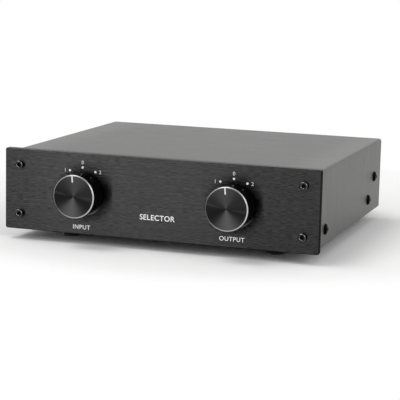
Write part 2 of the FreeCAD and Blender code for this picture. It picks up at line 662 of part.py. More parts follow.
def stop_angle():
    """Angle between the tab's middle and a stop pin's middle, in degrees."""
    pin_r = stop_pin_r()
    tab_half = math.degrees(math.asin(STOP_TAB_WIDTH / 2 / pin_r))
    pin_half = math.degrees(math.asin(STOP_PIN_D / 2 / pin_r))
    return DETENT_STEP + tab_half + pin_half + STOP_PLAY


def stop_pin_r():
    """Stop pins from the shaft's axis."""
    return WHEEL_D / 2 + STOP_PIN_GAP + STOP_PIN_D / 2


def index_frame(x):
    """Plate behind the detent wheel, with lugs that carry the click spring and two stop pins."""
    plate = upright_plate(rectangle(x - PLATE_WIDTH / 2, x + PLATE_WIDTH / 2,
                                    SWITCH_Z - PLATE_HEIGHT / 2, SWITCH_Z + PLATE_HEIGHT / 2),
                          [PLATE_CORNER_R] * 4, FRAME_FRONT, FRAME_BACK)
    low = SWITCH_Z + leaf_low()
    lugs = []
    for side in (-1, 1):
        near, far = sorted((side * (CLICK_LEAF_REACH - LUG_WIDTH), side * CLICK_LEAF_REACH))
        lugs.append(block(x + near, x + far, PLATE_BACK, FRAME_FRONT, low - LUG_HEIGHT, low))
    for side in (-1, 1):
        dx, dz = polar(stop_pin_r(), -90 + side * stop_angle())
        lugs.append(rod(STOP_PIN_D, PLATE_BACK, FRAME_FRONT, x + dx, SWITCH_Z + dz))
    tail_hole = rod(math.hypot(TAIL_WIDTH, TAIL_THICKNESS) + 2 * SHAFT_FIT, FRAME_FRONT, FRAME_BACK,
                    x, SWITCH_Z)
    ties = [rod(M3 + 2 * HOLE_FIT, FRAME_FRONT, FRAME_BACK, tie_x, SWITCH_Z) for tie_x in tie_xs(x)]
    return plate.fuse(lugs).removeSplitter().cut(group([tail_hole] + ties))


def clip_angles(index):
    """Angles of the contact clips on the front (0) or rear (1) wafer."""
    return (FRONT_CLIP_ANGLES, REAR_CLIP_ANGLES)[index]


def wafers(x):
    """Two round insulating boards with holes for rotor, tie screws and rivets."""
    boards = []
    for index, front in enumerate(WAFER_FRONTS):
        back = front + WAFER_T
        holes = [rod(WAFER_BORE, front, back, x, SWITCH_Z)]
        holes += [rod(M3 + 2 * HOLE_FIT, front, back, tie_x, SWITCH_Z) for tie_x in tie_xs(x)]
        for angle in clip_angles(index):
            dx, dz = polar(RIVET_R, angle)
            holes.append(rod(RIVET_D + 2 * THREAD_FIT, front, back, x + dx, SWITCH_Z + dz))
        boards.append(rod(WAFER_D, front, back, x, SWITCH_Z).cut(group(holes)))
    return group(boards)


def contact_clips(x):
    """Contact strips on both wafers, each with its rivet through the board."""
    clips = []
    for index, front in enumerate(WAFER_FRONTS):
        back = front + WAFER_T
        for angle in clip_angles(index):
            strip = block(CLIP_INNER_R, CLIP_TIP_R, back + CLIP_RISE, back + CLIP_RISE + CLIP_T,
                          -CLIP_WIDTH / 2, CLIP_WIDTH / 2)
            rivet = rod(RIVET_D, front - RIVET_HEAD_H, back + CLIP_RISE, RIVET_R, 0)
            head = rod(RIVET_HEAD_D, front - RIVET_HEAD_H, front, RIVET_R, 0)
            clip = strip.fuse([rivet, head]).removeSplitter()
            clip.rotate(Vector(0, 0, 0), FRONT, angle)
            clip.translate(Vector(x, 0, SWITCH_Z))
            clips.append(clip)
    return clips


def rotors(x):
    """Insulating discs that the shaft's tail turns inside the wafers."""
    discs = []
    for front in WAFER_FRONTS:
        disc = rod(ROTOR_D, front, front + WAFER_T, x, SWITCH_Z)
        slot_x, slot_z = TAIL_THICKNESS / 2 + WHEEL_FIT, TAIL_WIDTH / 2 + WHEEL_FIT
        discs.append(disc.cut(block(x - slot_x, x + slot_x, front, front + WAFER_T,
                                    SWITCH_Z - slot_z, SWITCH_Z + slot_z)))
    return group(discs)


def rotor_blades(x):
    """Two contact arcs on the back of each rotor."""
    blades = []
    for front in WAFER_FRONTS:
        for start in (90 - BLADE_SPAN / 2, 270 - BLADE_SPAN / 2):
            outer = Part.makeCylinder(BLADE_OUTER_D / 2, BLADE_T, Vector(0, 0, 0), UP, BLADE_SPAN)
            arc = outer.cut(Part.makeCylinder(BLADE_INNER_D / 2, BLADE_T))
            arc.rotate(Vector(0, 0, 0), UP, start)
            blades.append(seat(Part.makeCompound([arc]),
                               Vector(x, front + WAFER_T + BLADE_T, SWITCH_Z), FRONT))
    return group([solid for blade in blades for solid in blade.Solids])


def tie_parts(x):
    """Tie screws from the back of the switch and the tubes that space its layers."""
    gaps = ((PLATE_BACK, FRAME_FRONT), (FRAME_BACK, WAFER_FRONTS[0]),
            (WAFER_FRONTS[0] + WAFER_T, WAFER_FRONTS[1]))
    length = WAFER_STACK_END - PLATE_FRONT
    head = Part.makeCylinder(CAP_HEAD_D / 2, TIE_HEAD_H)
    screw = socket_screw(head, M3, length, M3_SOCKET, TIE_HEAD_H)
    screws = [seat(screw, Vector(tie_x, WAFER_STACK_END, SWITCH_Z), BACK) for tie_x in tie_xs(x)]
    tubes = [seat(ring(SPACER_D, M3 + 2 * HOLE_FIT, back - front), Vector(tie_x, front, SWITCH_Z), BACK)
             for tie_x in tie_xs(x) for front, back in gaps]
    return screws, tubes


# ------------------------------------------------------------------ binding posts
GROUPS = ("amp_1", "amp_2", "speaker_1", "speaker_2")
CHANNELS = ("left", "right")


def posts():
    """Every binding post: name, place and colour; the upper row is positive and red."""
    found = []
    for g, group_name in enumerate(GROUPS):
        for c, channel in enumerate(CHANNELS):
            x = (g - (len(GROUPS) - 1) / 2) * GROUP_PITCH + (c - 0.5) * POST_PITCH
            for polarity, row, colour in (("plus", 0.5, "red"), ("minus", -0.5, "black")):
                found.append({"name": f"{group_name}_{channel}_{polarity}", "x": x,
                              "z": AXIS_Z + row * POST_PITCH, "row": row, "colour": colour})
    return found


def stud():
    """Gilded stud, drawn along +Z with the outside of the rear panel at the origin."""
    top = BASE_H + COLLAR_H + CAP_GAP + CAP_LENGTH - CAP_LIP - CAP_END_GAP
    low = -(SHEET + INSULATOR_H + TERMINAL_T + POST_NUT_H + SHANK_SPARE)
    body = turned([(0, low), (SHANK_D / 2, low), (SHANK_D / 2, BASE_H), (COLLAR_D / 2, BASE_H),
                   (COLLAR_D / 2, BASE_H + COLLAR_H), (STUD_D / 2, BASE_H + COLLAR_H),
                   (STUD_D / 2, top), (0, top)])
    socket = Part.makeCylinder(SOCKET_D / 2, POST_SOCKET_DEPTH, Vector(0, 0, top - POST_SOCKET_DEPTH))
    wire_hole = Part.makeCylinder(WIRE_HOLE_D / 2, 2 * STUD_D,
                                  Vector(-STUD_D, 0, BASE_H + COLLAR_H + WIRE_HOLE_HEIGHT), Vector(1, 0, 0))
    return body.cut(group([socket, wire_hole]))


def post_base():
    """Coloured insulator with a neck through the rear panel."""
    hole = SHANK_D / 2 + THREAD_FIT
    return turned([(hole, -SHEET), (BASE_NECK_D / 2, -SHEET), (BASE_NECK_D / 2, 0), (BASE_D / 2, 0),
                   (BASE_D / 2, BASE_H), (hole, BASE_H)])


def post_cap():
    """Fluted screw cap, drawn from its inner end at the origin."""
    radius = CAP_D / 2
    bore = STUD_D / 2 + STUD_FIT
    body = turned([(bore, 0), (radius - CAP_CHAMFER, 0), (radius, CAP_CHAMFER),
                   (radius, CAP_LENGTH - CAP_CHAMFER), (radius - CAP_CHAMFER, CAP_LENGTH),
                   (CAP_MOUTH_D / 2, CAP_LENGTH), (CAP_MOUTH_D / 2, CAP_LENGTH - CAP_LIP),
                   (bore, CAP_LENGTH - CAP_LIP)])
    flutes = []
    for i in range(CAP_FLUTES):
        dx, dy = polar(radius + FLUTE_OFFSET, i * 360 / CAP_FLUTES)
        flutes.append(Part.makeCylinder(FLUTE_D / 2, CAP_LENGTH, Vector(dx, dy, 0)))
    return body.cut(group(flutes))


def terminal():
    """Solder terminal, drawn in the X-Z plane with its tab up, from the origin forwards."""
    hole = SHANK_D / 2 + THREAD_FIT
    tab = upright_plate(rectangle(-TERMINAL_TAB / 2, TERMINAL_TAB / 2, 0, TERMINAL_REACH),
                        [0, 0, TERMINAL_TAB_CORNER_R, TERMINAL_TAB_CORNER_R], -TERMINAL_T, 0)
    body = rod(TERMINAL_D, -TERMINAL_T, 0, 0, 0).fuse(tab).removeSplitter()
    return body.cut(group([rod(2 * hole, -TERMINAL_T, 0, 0, 0),
                           rod(TERMINAL_HOLE_D, -TERMINAL_T, 0, 0, wire_rise())]))


def wire_rise():
    """Where the wire meets a terminal's tab, from the post's axis."""
    return TERMINAL_REACH - TERMINAL_TAB / 2


def binding_posts():
    """All post parts; a cap is a node of its own, because it unscrews by itself."""
    stud_shape, base, cap, tag = stud(), post_base(), post_cap(), terminal()
    nut = hex_nut(POST_NUT_FLATS, POST_NUT_H, SHANK_D)
    disc = ring(INSULATOR_D, SHANK_D + 2 * THREAD_FIT, INSULATOR_H)
    nodes = {"binding_post_studs": [], "red_post_bases": [], "black_post_bases": [],
             "inner_insulators": [], "solder_terminals": [], "post_nuts": []}
    for post in posts():
        outside = Vector(post["x"], REAR_FACE, post["z"])
        inside = Vector(post["x"], REAR_INNER, post["z"])
        nodes["binding_post_studs"].append(seat(stud_shape, outside, BACK))
        nodes[post["colour"] + "_post_bases"].append(seat(base, outside, BACK))
        nodes["inner_insulators"].append(seat(disc, inside, FRONT))
        nodes["post_nuts"].append(seat(nut, Vector(post["x"], TERMINAL_FRONT, post["z"]), FRONT))
        tab = tag.copy()
        if post["row"] < 0:
            tab.rotate(Vector(0, 0, 0), BACK, 180)
        tab.translate(Vector(post["x"], TERMINAL_BACK, post["z"]))
        nodes["solder_terminals"].append(tab)
    grouped = {name: group(shapes) for name, shapes in nodes.items()}
    for post in posts():
        at = Vector(post["x"], REAR_FACE + BASE_H + COLLAR_H + CAP_GAP, post["z"])
        grouped[post["name"] + "_cap"] = seat(cap, at, BACK)
    return grouped


# ------------------------------------------------------------------ wiring
def wire(start, end):
    """A wire that runs forwards, steps across in one easy bend each way and runs forwards again."""
    first = Vector(start.x, start.y - WIRE_STRAIGHT_REAR, start.z)
    second = Vector(end.x, end.y + WIRE_STRAIGHT_FRONT, end.z)
    edges = []
    at = start
    for corner, after in ((first, second), (second, end)):
        back = (at - corner).normalize()
        ahead = (after - corner).normalize()
        half = math.acos(back.dot(ahead)) / 2
        setback = WIRE_BEND_R / math.tan(half)
        inward = (back + ahead).normalize()
        middle = corner + inward * (WIRE_BEND_R / math.sin(half) - WIRE_BEND_R)
        edges.append(Part.LineSegment(at, corner + back * setback).toShape())
        edges.append(Part.Arc(corner + back * setback, middle, corner + ahead * setback).toShape())
        at = corner + ahead * setback
    edges.append(Part.LineSegment(at, end).toShape())
    section = Part.Wire(Part.makeCircle(WIRE_D / 2, start, FRONT))
    return Part.Wire(edges).makePipeShell([section], True, True)


def wires():
    """Post wires, amplifiers to the left switch and speakers to the right, and links between them."""
    sets = {"red": [], "black": []}
    for colour, sign in (("red", 1), ("black", -1)):
        row = [post for post in posts() if post["colour"] == colour]
        for switch_x, half in ((-SWITCH_X, row[:4]), (SWITCH_X, row[4:])):
            for post, (index, angle) in zip(half, WIRE_CLIP_ANGLES):
                dx, dz = polar(CLIP_TIP_R - CLIP_WIDTH / 2, sign * angle)
                clip_back = WAFER_FRONTS[index] + WAFER_T + CLIP_RISE + CLIP_T
                start = Vector(post["x"], TERMINAL_FRONT - WIRE_JOINT, post["z"] + sign * wire_rise())
                end = Vector(switch_x + dx, clip_back + WIRE_JOINT, SWITCH_Z + dz)
                sets[colour].append(wire(start, end))
        for front in WAFER_FRONTS:
            y = front + WAFER_T + CLIP_RISE + CLIP_T / 2
            z = SWITCH_Z + sign * (CLIP_TIP_R + WIRE_JOINT + WIRE_D / 2)
            reach = SWITCH_X + CLIP_WIDTH / 2
            sets[colour].append(Part.makeCylinder(WIRE_D / 2, 2 * reach, Vector(-reach, y, z),
                                                  Vector(1, 0, 0)))
    return {colour + "_wires": group(runs) for colour, runs in sets.items()}


# ------------------------------------------------------------------ the whole object
def switch_nodes():
    """Both rotary switches with their knobs."""
    nodes = {}
    clips, screws, tubes, nuts, washers = [], [], [], [], []
    nut = hex_nut(BUSHING_NUT_FLATS, BUSHING_NUT_H, BUSHING_D)
    washer = ring(WASHER_D, BUSHING_D + 2 * HOLE_FIT, WASHER_H)
    for side, x, skew in (("left", -SWITCH_X, LEFT_POINTER_SKEW), ("right", SWITCH_X, RIGHT_POINTER_SKEW)):
        nodes[side + "_knob"] = knob(x, skew)
        nodes[side + "_set_screw"] = grub_screw(x)
        nodes[side + "_shaft"] = shaft(x)
        nodes[side + "_detent_wheel"] = detent_wheel(x)
        nodes[side + "_rotors"] = rotors(x)
        nodes[side + "_rotor_blades"] = rotor_blades(x)
        nodes[side + "_switch_plate"] = switch_plate(x)
        nodes[side + "_index_frame"] = index_frame(x)
        nodes[side + "_click_spring"] = click_spring(x)
        nodes[side + "_wafers"] = wafers(x)
        clips += contact_clips(x)
        side_screws, side_tubes = tie_parts(x)
        screws += side_screws
        tubes += side_tubes
        washers.append(seat(washer, Vector(x, PANEL_FRONT, SWITCH_Z), FRONT))
        nuts.append(seat(nut, Vector(x, PANEL_FRONT - WASHER_H, SWITCH_Z), FRONT))
    nodes["contact_clips"] = group(clips)
    nodes["tie_screws"] = group(screws)
    nodes["tie_spacers"] = group(tubes)
    nodes["bushing_nuts"] = group(nuts)
    nodes["bushing_washers"] = group(washers)
    return nodes


NODES = {
    "front_panel": front_panel(),
    "top_cover": top_cover(),
    "chassis_tray": chassis_tray(),
    "rear_panel": rear_panel(),
    **feet(),
    **case_fasteners(),
    **switch_nodes(),
    **binding_posts(),
    **wires(),
}

os.makedirs("parts", exist_ok=True)
for node_name, node_shape in NODES.items():
    node_shape.exportStep(f"parts/{node_name}.step")
print(len(NODES), "nodes,", sum(len(shape.Solids) for shape in NODES.values()), "solids")
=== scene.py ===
"""Looks of the speaker selector switch: finishes, turned knobs, printing, floor, light and camera.

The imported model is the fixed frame. Everything is in metres: X to the right, Y to the back, Z up.
"""
import logging
import math
from collections.abc import Iterable, Sequence
from dataclasses import dataclass
from enum import Enum
from typing import Any, ClassVar

import bmesh
import bpy
from mathutils import Matrix, Vector


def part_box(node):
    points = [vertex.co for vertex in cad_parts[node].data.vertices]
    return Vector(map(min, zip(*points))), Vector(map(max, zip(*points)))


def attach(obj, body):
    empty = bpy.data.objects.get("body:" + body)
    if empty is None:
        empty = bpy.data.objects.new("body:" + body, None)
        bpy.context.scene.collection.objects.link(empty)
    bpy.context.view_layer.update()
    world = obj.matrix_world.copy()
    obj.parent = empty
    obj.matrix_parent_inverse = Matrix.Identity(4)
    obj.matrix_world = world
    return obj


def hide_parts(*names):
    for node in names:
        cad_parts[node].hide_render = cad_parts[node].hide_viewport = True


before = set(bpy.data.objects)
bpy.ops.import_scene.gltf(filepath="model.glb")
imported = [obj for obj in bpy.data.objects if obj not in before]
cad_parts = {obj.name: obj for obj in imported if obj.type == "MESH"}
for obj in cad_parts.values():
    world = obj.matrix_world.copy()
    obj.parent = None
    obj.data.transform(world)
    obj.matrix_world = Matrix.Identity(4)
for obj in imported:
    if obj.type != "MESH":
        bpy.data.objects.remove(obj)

LOG = logging.getLogger("selector")
MM = 0.001

Colour = tuple[float, float, float, float]
Operand = "Value | float"
Outline = list[Vector]
Lobes = tuple[tuple[float, float, float], ...]    # clock angle in degrees, sharpness, strength


def tint(red: float, green: float, blue: float) -> Colour:
    """A colour with full alpha."""
    return (red, green, blue, 1.0)


# ------------------------------------------------------------------ shader maths
class Value:
    """A number that a shader node gives out; arithmetic on it adds Math nodes."""

    def __init__(self, tree: "ShaderTree", socket: bpy.types.NodeSocket) -> None:
        """Wrap a socket.

        Args:
            tree: the tree that the socket's node is in.
            socket: an output that gives one number.
        """
        self.tree = tree
        self.socket = socket

    def __add__(self, other: Operand) -> "Value":
        """This plus other."""
        return self.tree.math("ADD", self, other)

    def __radd__(self, other: Operand) -> "Value":
        """Other plus this."""
        return self.tree.math("ADD", other, self)

    def __sub__(self, other: Operand) -> "Value":
        """This minus other."""
        return self.tree.math("SUBTRACT", self, other)

    def __rsub__(self, other: Operand) -> "Value":
        """Other minus this."""
        return self.tree.math("SUBTRACT", other, self)

    def __mul__(self, other: Operand) -> "Value":
        """This times other."""
        return self.tree.math("MULTIPLY", self, other)

    def __rmul__(self, other: Operand) -> "Value":
        """Other times this."""
        return self.tree.math("MULTIPLY", other, self)

    def __truediv__(self, other: Operand) -> "Value":
        """This divided by other."""
        return self.tree.math("DIVIDE", self, other)

    def __rtruediv__(self, other: Operand) -> "Value":
        """Other divided by this."""
        return self.tree.math("DIVIDE", other, self)

    def __pow__(self, power: Operand) -> "Value":
        """This raised to a power."""
        return self.tree.math("POWER", self, power)

    def __rpow__(self, base: Operand) -> "Value":
        """A base raised to this."""
        return self.tree.math("POWER", base, self)

    def __neg__(self) -> "Value":
        """Minus this."""
        return self * -1.0

    def __abs__(self) -> "Value":
        """This without its sign."""
        return self.tree.math("ABSOLUTE", self)

    def positive(self) -> "Value":
        """This, or 0 where it is negative."""
        return self.tree.math("MAXIMUM", self, 0.0)

    def at_most(self, limit: float) -> "Value":
        """This, or the limit where it is more."""
        return self.tree.math("MINIMUM", self, limit)

    def about(self, middle: float, spread: float) -> "Value":
        """This noise about 0.5, made to vary about another number."""
        return middle + (self - 0.5) * spread


class Carrying(Enum):
    """What is carried between a piece's own axes and the world's, and which way."""

    VECTOR_TO_WORLD = ("VECTOR", "OBJECT", "WORLD")
    NORMAL_TO_PIECE = ("NORMAL", "WORLD", "OBJECT")


class ShaderTree:
    """The nodes of one material or of the world."""

    def __init__(self, owner: bpy.types.Material | bpy.types.World) -> None:
        """Start an empty tree.

        Args:
            owner: the material or world that the nodes belong to.
        """
        owner.use_nodes = True
        self.nodes = owner.node_tree.nodes
        self.links = owner.node_tree.links
        self.nodes.clear()

    def node(self, kind: str, settings: dict[str, Any] | None = None,
             sockets: dict[str | int, Any] | None = None) -> bpy.types.Node:
        """Add a node.

        Args:
            kind: the node's type.
            settings: its properties, set before the sockets.
            sockets: values or links for its inputs, by name or number.

        Returns:
            The new node.
        """
        made = self.nodes.new(kind)
        for name, setting in (settings or {}).items():
            setattr(made, name, setting)
        for key, given in (sockets or {}).items():
            self.feed(made.inputs[key], given)
        return made

    def feed(self, socket: bpy.types.NodeSocket, given: Any) -> None:
        """Give an input its value or its link.

        Args:
            socket: the input.
            given: a Value, an output socket or a plain number, vector or colour.
        """
        if isinstance(given, Value):
            self.links.new(given.socket, socket)
        elif isinstance(given, bpy.types.NodeSocket):
            self.links.new(given, socket)
        else:
            socket.default_value = given

    def math(self, operation: str, first: Operand, second: Operand = 0.0) -> Value:
        """A Math node on one or two numbers."""
        return Value(self, self.node("ShaderNodeMath", {"operation": operation},
                                     {0: first, 1: second}).outputs[0])

    def arrow(self, operation: str, *vectors: Any) -> bpy.types.NodeSocket:
        """A Vector Math node on one or two vectors."""
        return self.node("ShaderNodeVectorMath", {"operation": operation},
                         dict(enumerate(vectors))).outputs["Vector"]

    def scaled(self, vector: Any, factor: Operand) -> bpy.types.NodeSocket:
        """A vector, or a colour, times a number."""
        return self.node("ShaderNodeVectorMath", {"operation": "SCALE"},
                         {0: vector, "Scale": factor}).outputs["Vector"]

    def mix(self, factor: Operand, first: Any, second: Any) -> bpy.types.NodeSocket:
        """A colour between two colours."""
        return self.node("ShaderNodeMix", {"data_type": "RGBA"}, {0: factor, 6: first, 7: second}).outputs[2]

    def join(self, x: Operand, y: Operand, z: Operand) -> bpy.types.NodeSocket:
        """A vector of three numbers."""
        return self.node("ShaderNodeCombineXYZ", None, {0: x, 1: y, 2: z}).outputs[0]

    def split(self, vector: bpy.types.NodeSocket) -> tuple[Value, Value, Value]:
        """The three numbers of a vector."""
        made = self.node("ShaderNodeSeparateXYZ", None, {0: vector})
        return Value(self, made.outputs[0]), Value(self, made.outputs[1]), Value(self, made.outputs[2])

    def place(self) -> bpy.types.NodeSocket:
        """Where the surface point is, in metres, in the piece's own coordinates."""
        return self.node("ShaderNodeTexCoord").outputs["Object"]

    def distance(self, across: Value, up: Value) -> Value:
        """The length of a flat vector."""
        return self.math("SQRT", across * across + up * up)

    def noise(self, vector: Any, scale: float = 1.0, detail: float = 2.0) -> Value:
        """Smooth noise about 0.5.

        Args:
            vector: where to read it.
            scale: cells for each unit of the vector.
            detail: number of finer layers.

        Returns:
            The noise, mostly between 0.3 and 0.7.
        """
        made = self.node("ShaderNodeTexNoise", None, {"Vector": vector, "Scale": scale, "Detail": detail})
        return Value(self, made.outputs["Fac"])

    def step(self, value: Operand, low: float, high: float) -> Value:
        """0 below low, 1 above high and a smooth rise between them.

        Args:
            value: what is compared.
            low: up to where the result is 0.
            high: from where it is 1.

        Returns:
            The step.
        """
        made = self.node("ShaderNodeMapRange", {"interpolation_type": "SMOOTHSTEP"},
                         {"Value": value, "From Min": low, "From Max": high})
        return Value(self, made.outputs["Result"])

    def carried(self, vector: Any, carrying: Carrying) -> bpy.types.NodeSocket:
        """A vector or normal carried between the piece's and the world's axes.

        Args:
            vector: what is carried.
            carrying: what kind it is, and between which axes it goes.

        Returns:
            The carried vector's socket.
        """
        kind, start, end = carrying.value
        return self.node("ShaderNodeVectorTransform",
                         {"vector_type": kind, "convert_from": start, "convert_to": end},
                         {0: vector}).outputs[0]

    def smooth(self) -> bpy.types.NodeSocket:
        """The mesh's own normal."""
        return self.node("ShaderNodeNewGeometry").outputs["Normal"]

    def facing(self) -> tuple[Value, Value, Value]:
        """Which way the surface faces, in the piece's own axes."""
        return self.split(self.carried(self.smooth(), Carrying.NORMAL_TO_PIECE))

    def leaning(self, direction: Any, slope: Value) -> bpy.types.NodeSocket:
        """The surface normal, tipped towards a direction.

        Args:
            direction: the way it tips, in the piece's own axes.
            slope: how far, as a rise over a run.

        Returns:
            The tipped normal's socket.
        """
        tip = self.scaled(self.carried(direction, Carrying.VECTOR_TO_WORLD), slope)
        return self.arrow("NORMALIZE", self.arrow("ADD", self.smooth(), tip))

    def bumpy(self, height: Value, depth: float) -> bpy.types.NodeSocket:
        """The normal of a surface with a relief.

        Args:
            height: the relief, 0 to 1.
            depth: how high 1 stands, in metres.

        Returns:
            The normal's socket.
        """
        return self.node("ShaderNodeBump", None,
                         {"Strength": 1.0, "Distance": depth, "Height": height}).outputs["Normal"]

    def surface(self, colour: Any, roughness: Any, normal: Any = None,
                **others: Operand) -> bpy.types.NodeSocket:
        """A Principled surface.

        Args:
            colour: base colour or its link.
            roughness: roughness or its link.
            normal: link of the normal, if it isn't the mesh's own.
            others: other sockets, underscores for spaces, with plain numbers; Metallic may vary.

        Returns:
            The shader's socket.
        """
        sockets = {"Base Color": colour, "Roughness": roughness}
        sockets.update({name.replace("_", " "): given for name, given in others.items()})
        if normal is not None:
            sockets["Normal"] = normal
        return self.node("ShaderNodeBsdfPrincipled", None, sockets).outputs[0]

    def blend(self, factor: Operand, first: Any, second: Any) -> bpy.types.NodeSocket:
        """A shader between two shaders."""
        return self.node("ShaderNodeMixShader", None, {0: factor, 1: first, 2: second}).outputs[0]

    def show(self, shader: bpy.types.NodeSocket) -> None:
        """Send a shader to the material's output."""
        self.node("ShaderNodeOutputMaterial", None, {"Surface": shader})


# ------------------------------------------------------------------ finishes
BACKWARDS = (0.0, 1.0, 0.0)
UPWARDS = (0.0, 0.0, 1.0)
WEAR_CELLS = 900.0               # in a metre
WEAR_SHADE = 0.3                 # how much wear varies the brightness
ROUGHNESS_RANGE = 0.1            # how much wear or texture varies the roughness


@dataclass(frozen=True)
class Finish:
    """A surface finish. Its material is made when it is first used, and then shared."""

    name: str                    # of its material
    colour: Colour
    roughness: float

    def material(self) -> bpy.types.Material:
        """The material of this finish.

        Returns:
            The material, shared by all that have this finish.
        """
        found = bpy.data.materials.get(self.name)
        if found is None:
            found = bpy.data.materials.new(self.name)
            self.paint(ShaderTree(found))
        return found

    def paint(self, tree: ShaderTree) -> None:
        """Fill the material's tree."""
        raise NotImplementedError

    def wear(self, tree: ShaderTree) -> tuple[Value, Value]:
        """Faint wear: what it makes of a brightness of 1, and of the roughness."""
        wear = tree.noise(tree.place(), scale=WEAR_CELLS, detail=3.0)
        return wear.about(1.0, WEAR_SHADE), wear.about(self.roughness, ROUGHNESS_RANGE)


@dataclass(frozen=True)
class Ramp:
    """A smooth rise from 0 to an amount between two places."""

    start: float
    end: float
    amount: float                # from the end on

    def at(self, tree: ShaderTree, place: Value) -> Value:
        """How high it is at a place."""
        return tree.step(place, self.start, self.end) * self.amount


@dataclass(frozen=True)
class Fan:
    """Painted light: how brightly a surface is painted at each clock angle round an axis along Y."""

    centre_x: float              # of the axis
    centre_z: float
    base: float                  # painted brightness away from the lobes
    lobes: Lobes

    AXIS_GUARD: ClassVar[float] = 0.01 * MM   # keeps the distance above 0 on the axis

    def spread(self, tree: ShaderTree) -> tuple[Value, Value, Value]:
        """Where a surface point is round the axis.

        Args:
            tree: the material's tree.

        Returns:
            The way out from the axis in X and in Z, and the distance from it.
        """
        x, _, z = tree.split(tree.place())
        out_x = x - self.centre_x
        out_z = z - self.centre_z
        radius = tree.distance(out_x, out_z) + self.AXIS_GUARD
        return out_x / radius, out_z / radius, radius

    def light(self, tree: ShaderTree, out_x: Value, out_z: Value) -> Operand:
        """The painted brightness in a direction from the axis.

        Args:
            tree: the material's tree.
            out_x: the way out from the axis in X.
            out_z: the same in Z.

        Returns:
            The brightness.
        """
        light: Operand = self.base
        for clock, sharpness, strength in self.lobes:
            angle = math.radians(clock)
            toward = out_x * math.sin(angle) + out_z * math.cos(angle)
            light = light + toward.positive() ** sharpness * strength
        return light


@dataclass(frozen=True)
class BrushedAnodising(Finish):
    """Anodised aluminium over a brushed surface: long fine scratches and broader streaks."""

    slope: float                 # how far the scratches tip the surface
    streaks: float               # how much scratches and streaks vary its colour
    uneven: float                # how much the streaks vary its roughness
    streak_length: float         # size of a streak, along and across the brushing
    streak_width: float

    SCRATCH_LENGTH: ClassVar[float] = 22 * MM
    SCRATCH_WIDTH: ClassVar[float] = 0.16 * MM
    CLOUD: ClassVar[float] = 60 * MM
    CLOUDINESS: ClassVar[float] = 0.3

    def brushing(self, tree: ShaderTree, along: Value, across: Value,
                 aside: Operand) -> tuple[Value, Value, Value]:
        """The marks of the brush.

        Args:
            tree: the material's tree.
            along: how far along the scratches a point lies.
            across: how far across them.
            aside: how far out of the brushed face.

        Returns:
            The scratches, the streaks, and the shade that they and faint clouds give the colour.
        """
        scratch = tree.noise(tree.join(along / self.SCRATCH_LENGTH, across / self.SCRATCH_WIDTH,
                                       aside / self.SCRATCH_WIDTH), detail=3.0)
        streak = tree.noise(tree.join(along / self.streak_length, across / self.streak_width,
                                      aside / self.streak_width), detail=2.0)
        cloud = tree.noise(tree.place(), scale=1 / self.CLOUD)
        shade = (streak.about(1.0, self.streaks) + scratch.about(0.0, self.streaks)
                 + cloud.about(0.0, self.CLOUDINESS))
        return scratch, streak, shade


@dataclass(frozen=True)
class CoverAnodising(BrushedAnodising):
    """Brushed across the top and on down the sides, as the flat sheet was; the top has a painted sheen near
    the folds.
    """

    PAINTED_FOLD_SHEEN: ClassVar[Ramp] = Ramp(75 * MM, 106 * MM, 0.8)     # painted sheen, by distance from the middle
    LEVEL: ClassVar[tuple[float, float]] = (0.70, 0.95)          # how squarely the top faces up

    def paint(self, tree: ShaderTree) -> None:
        """Scratches tip the normal; streaks vary colour and roughness; a painted sheen lightens the top near
        the folds.

        Args:
            tree: the material's tree.
        """
        x, y, z = tree.split(tree.place())
        scratch, streak, shade = self.brushing(tree, x + z, y, 0.0)
        _, _, up = tree.facing()
        # painted sheen: the top is lighter near the folds
        painted_fold_sheen = self.PAINTED_FOLD_SHEEN.at(tree, abs(x)) * tree.step(up, *self.LEVEL)
        tree.show(tree.surface(tree.scaled(self.colour[:3], shade * (1.0 + painted_fold_sheen)),
                               streak.about(self.roughness, self.uneven),
                               tree.leaning(BACKWARDS, scratch.about(0.0, self.slope))))


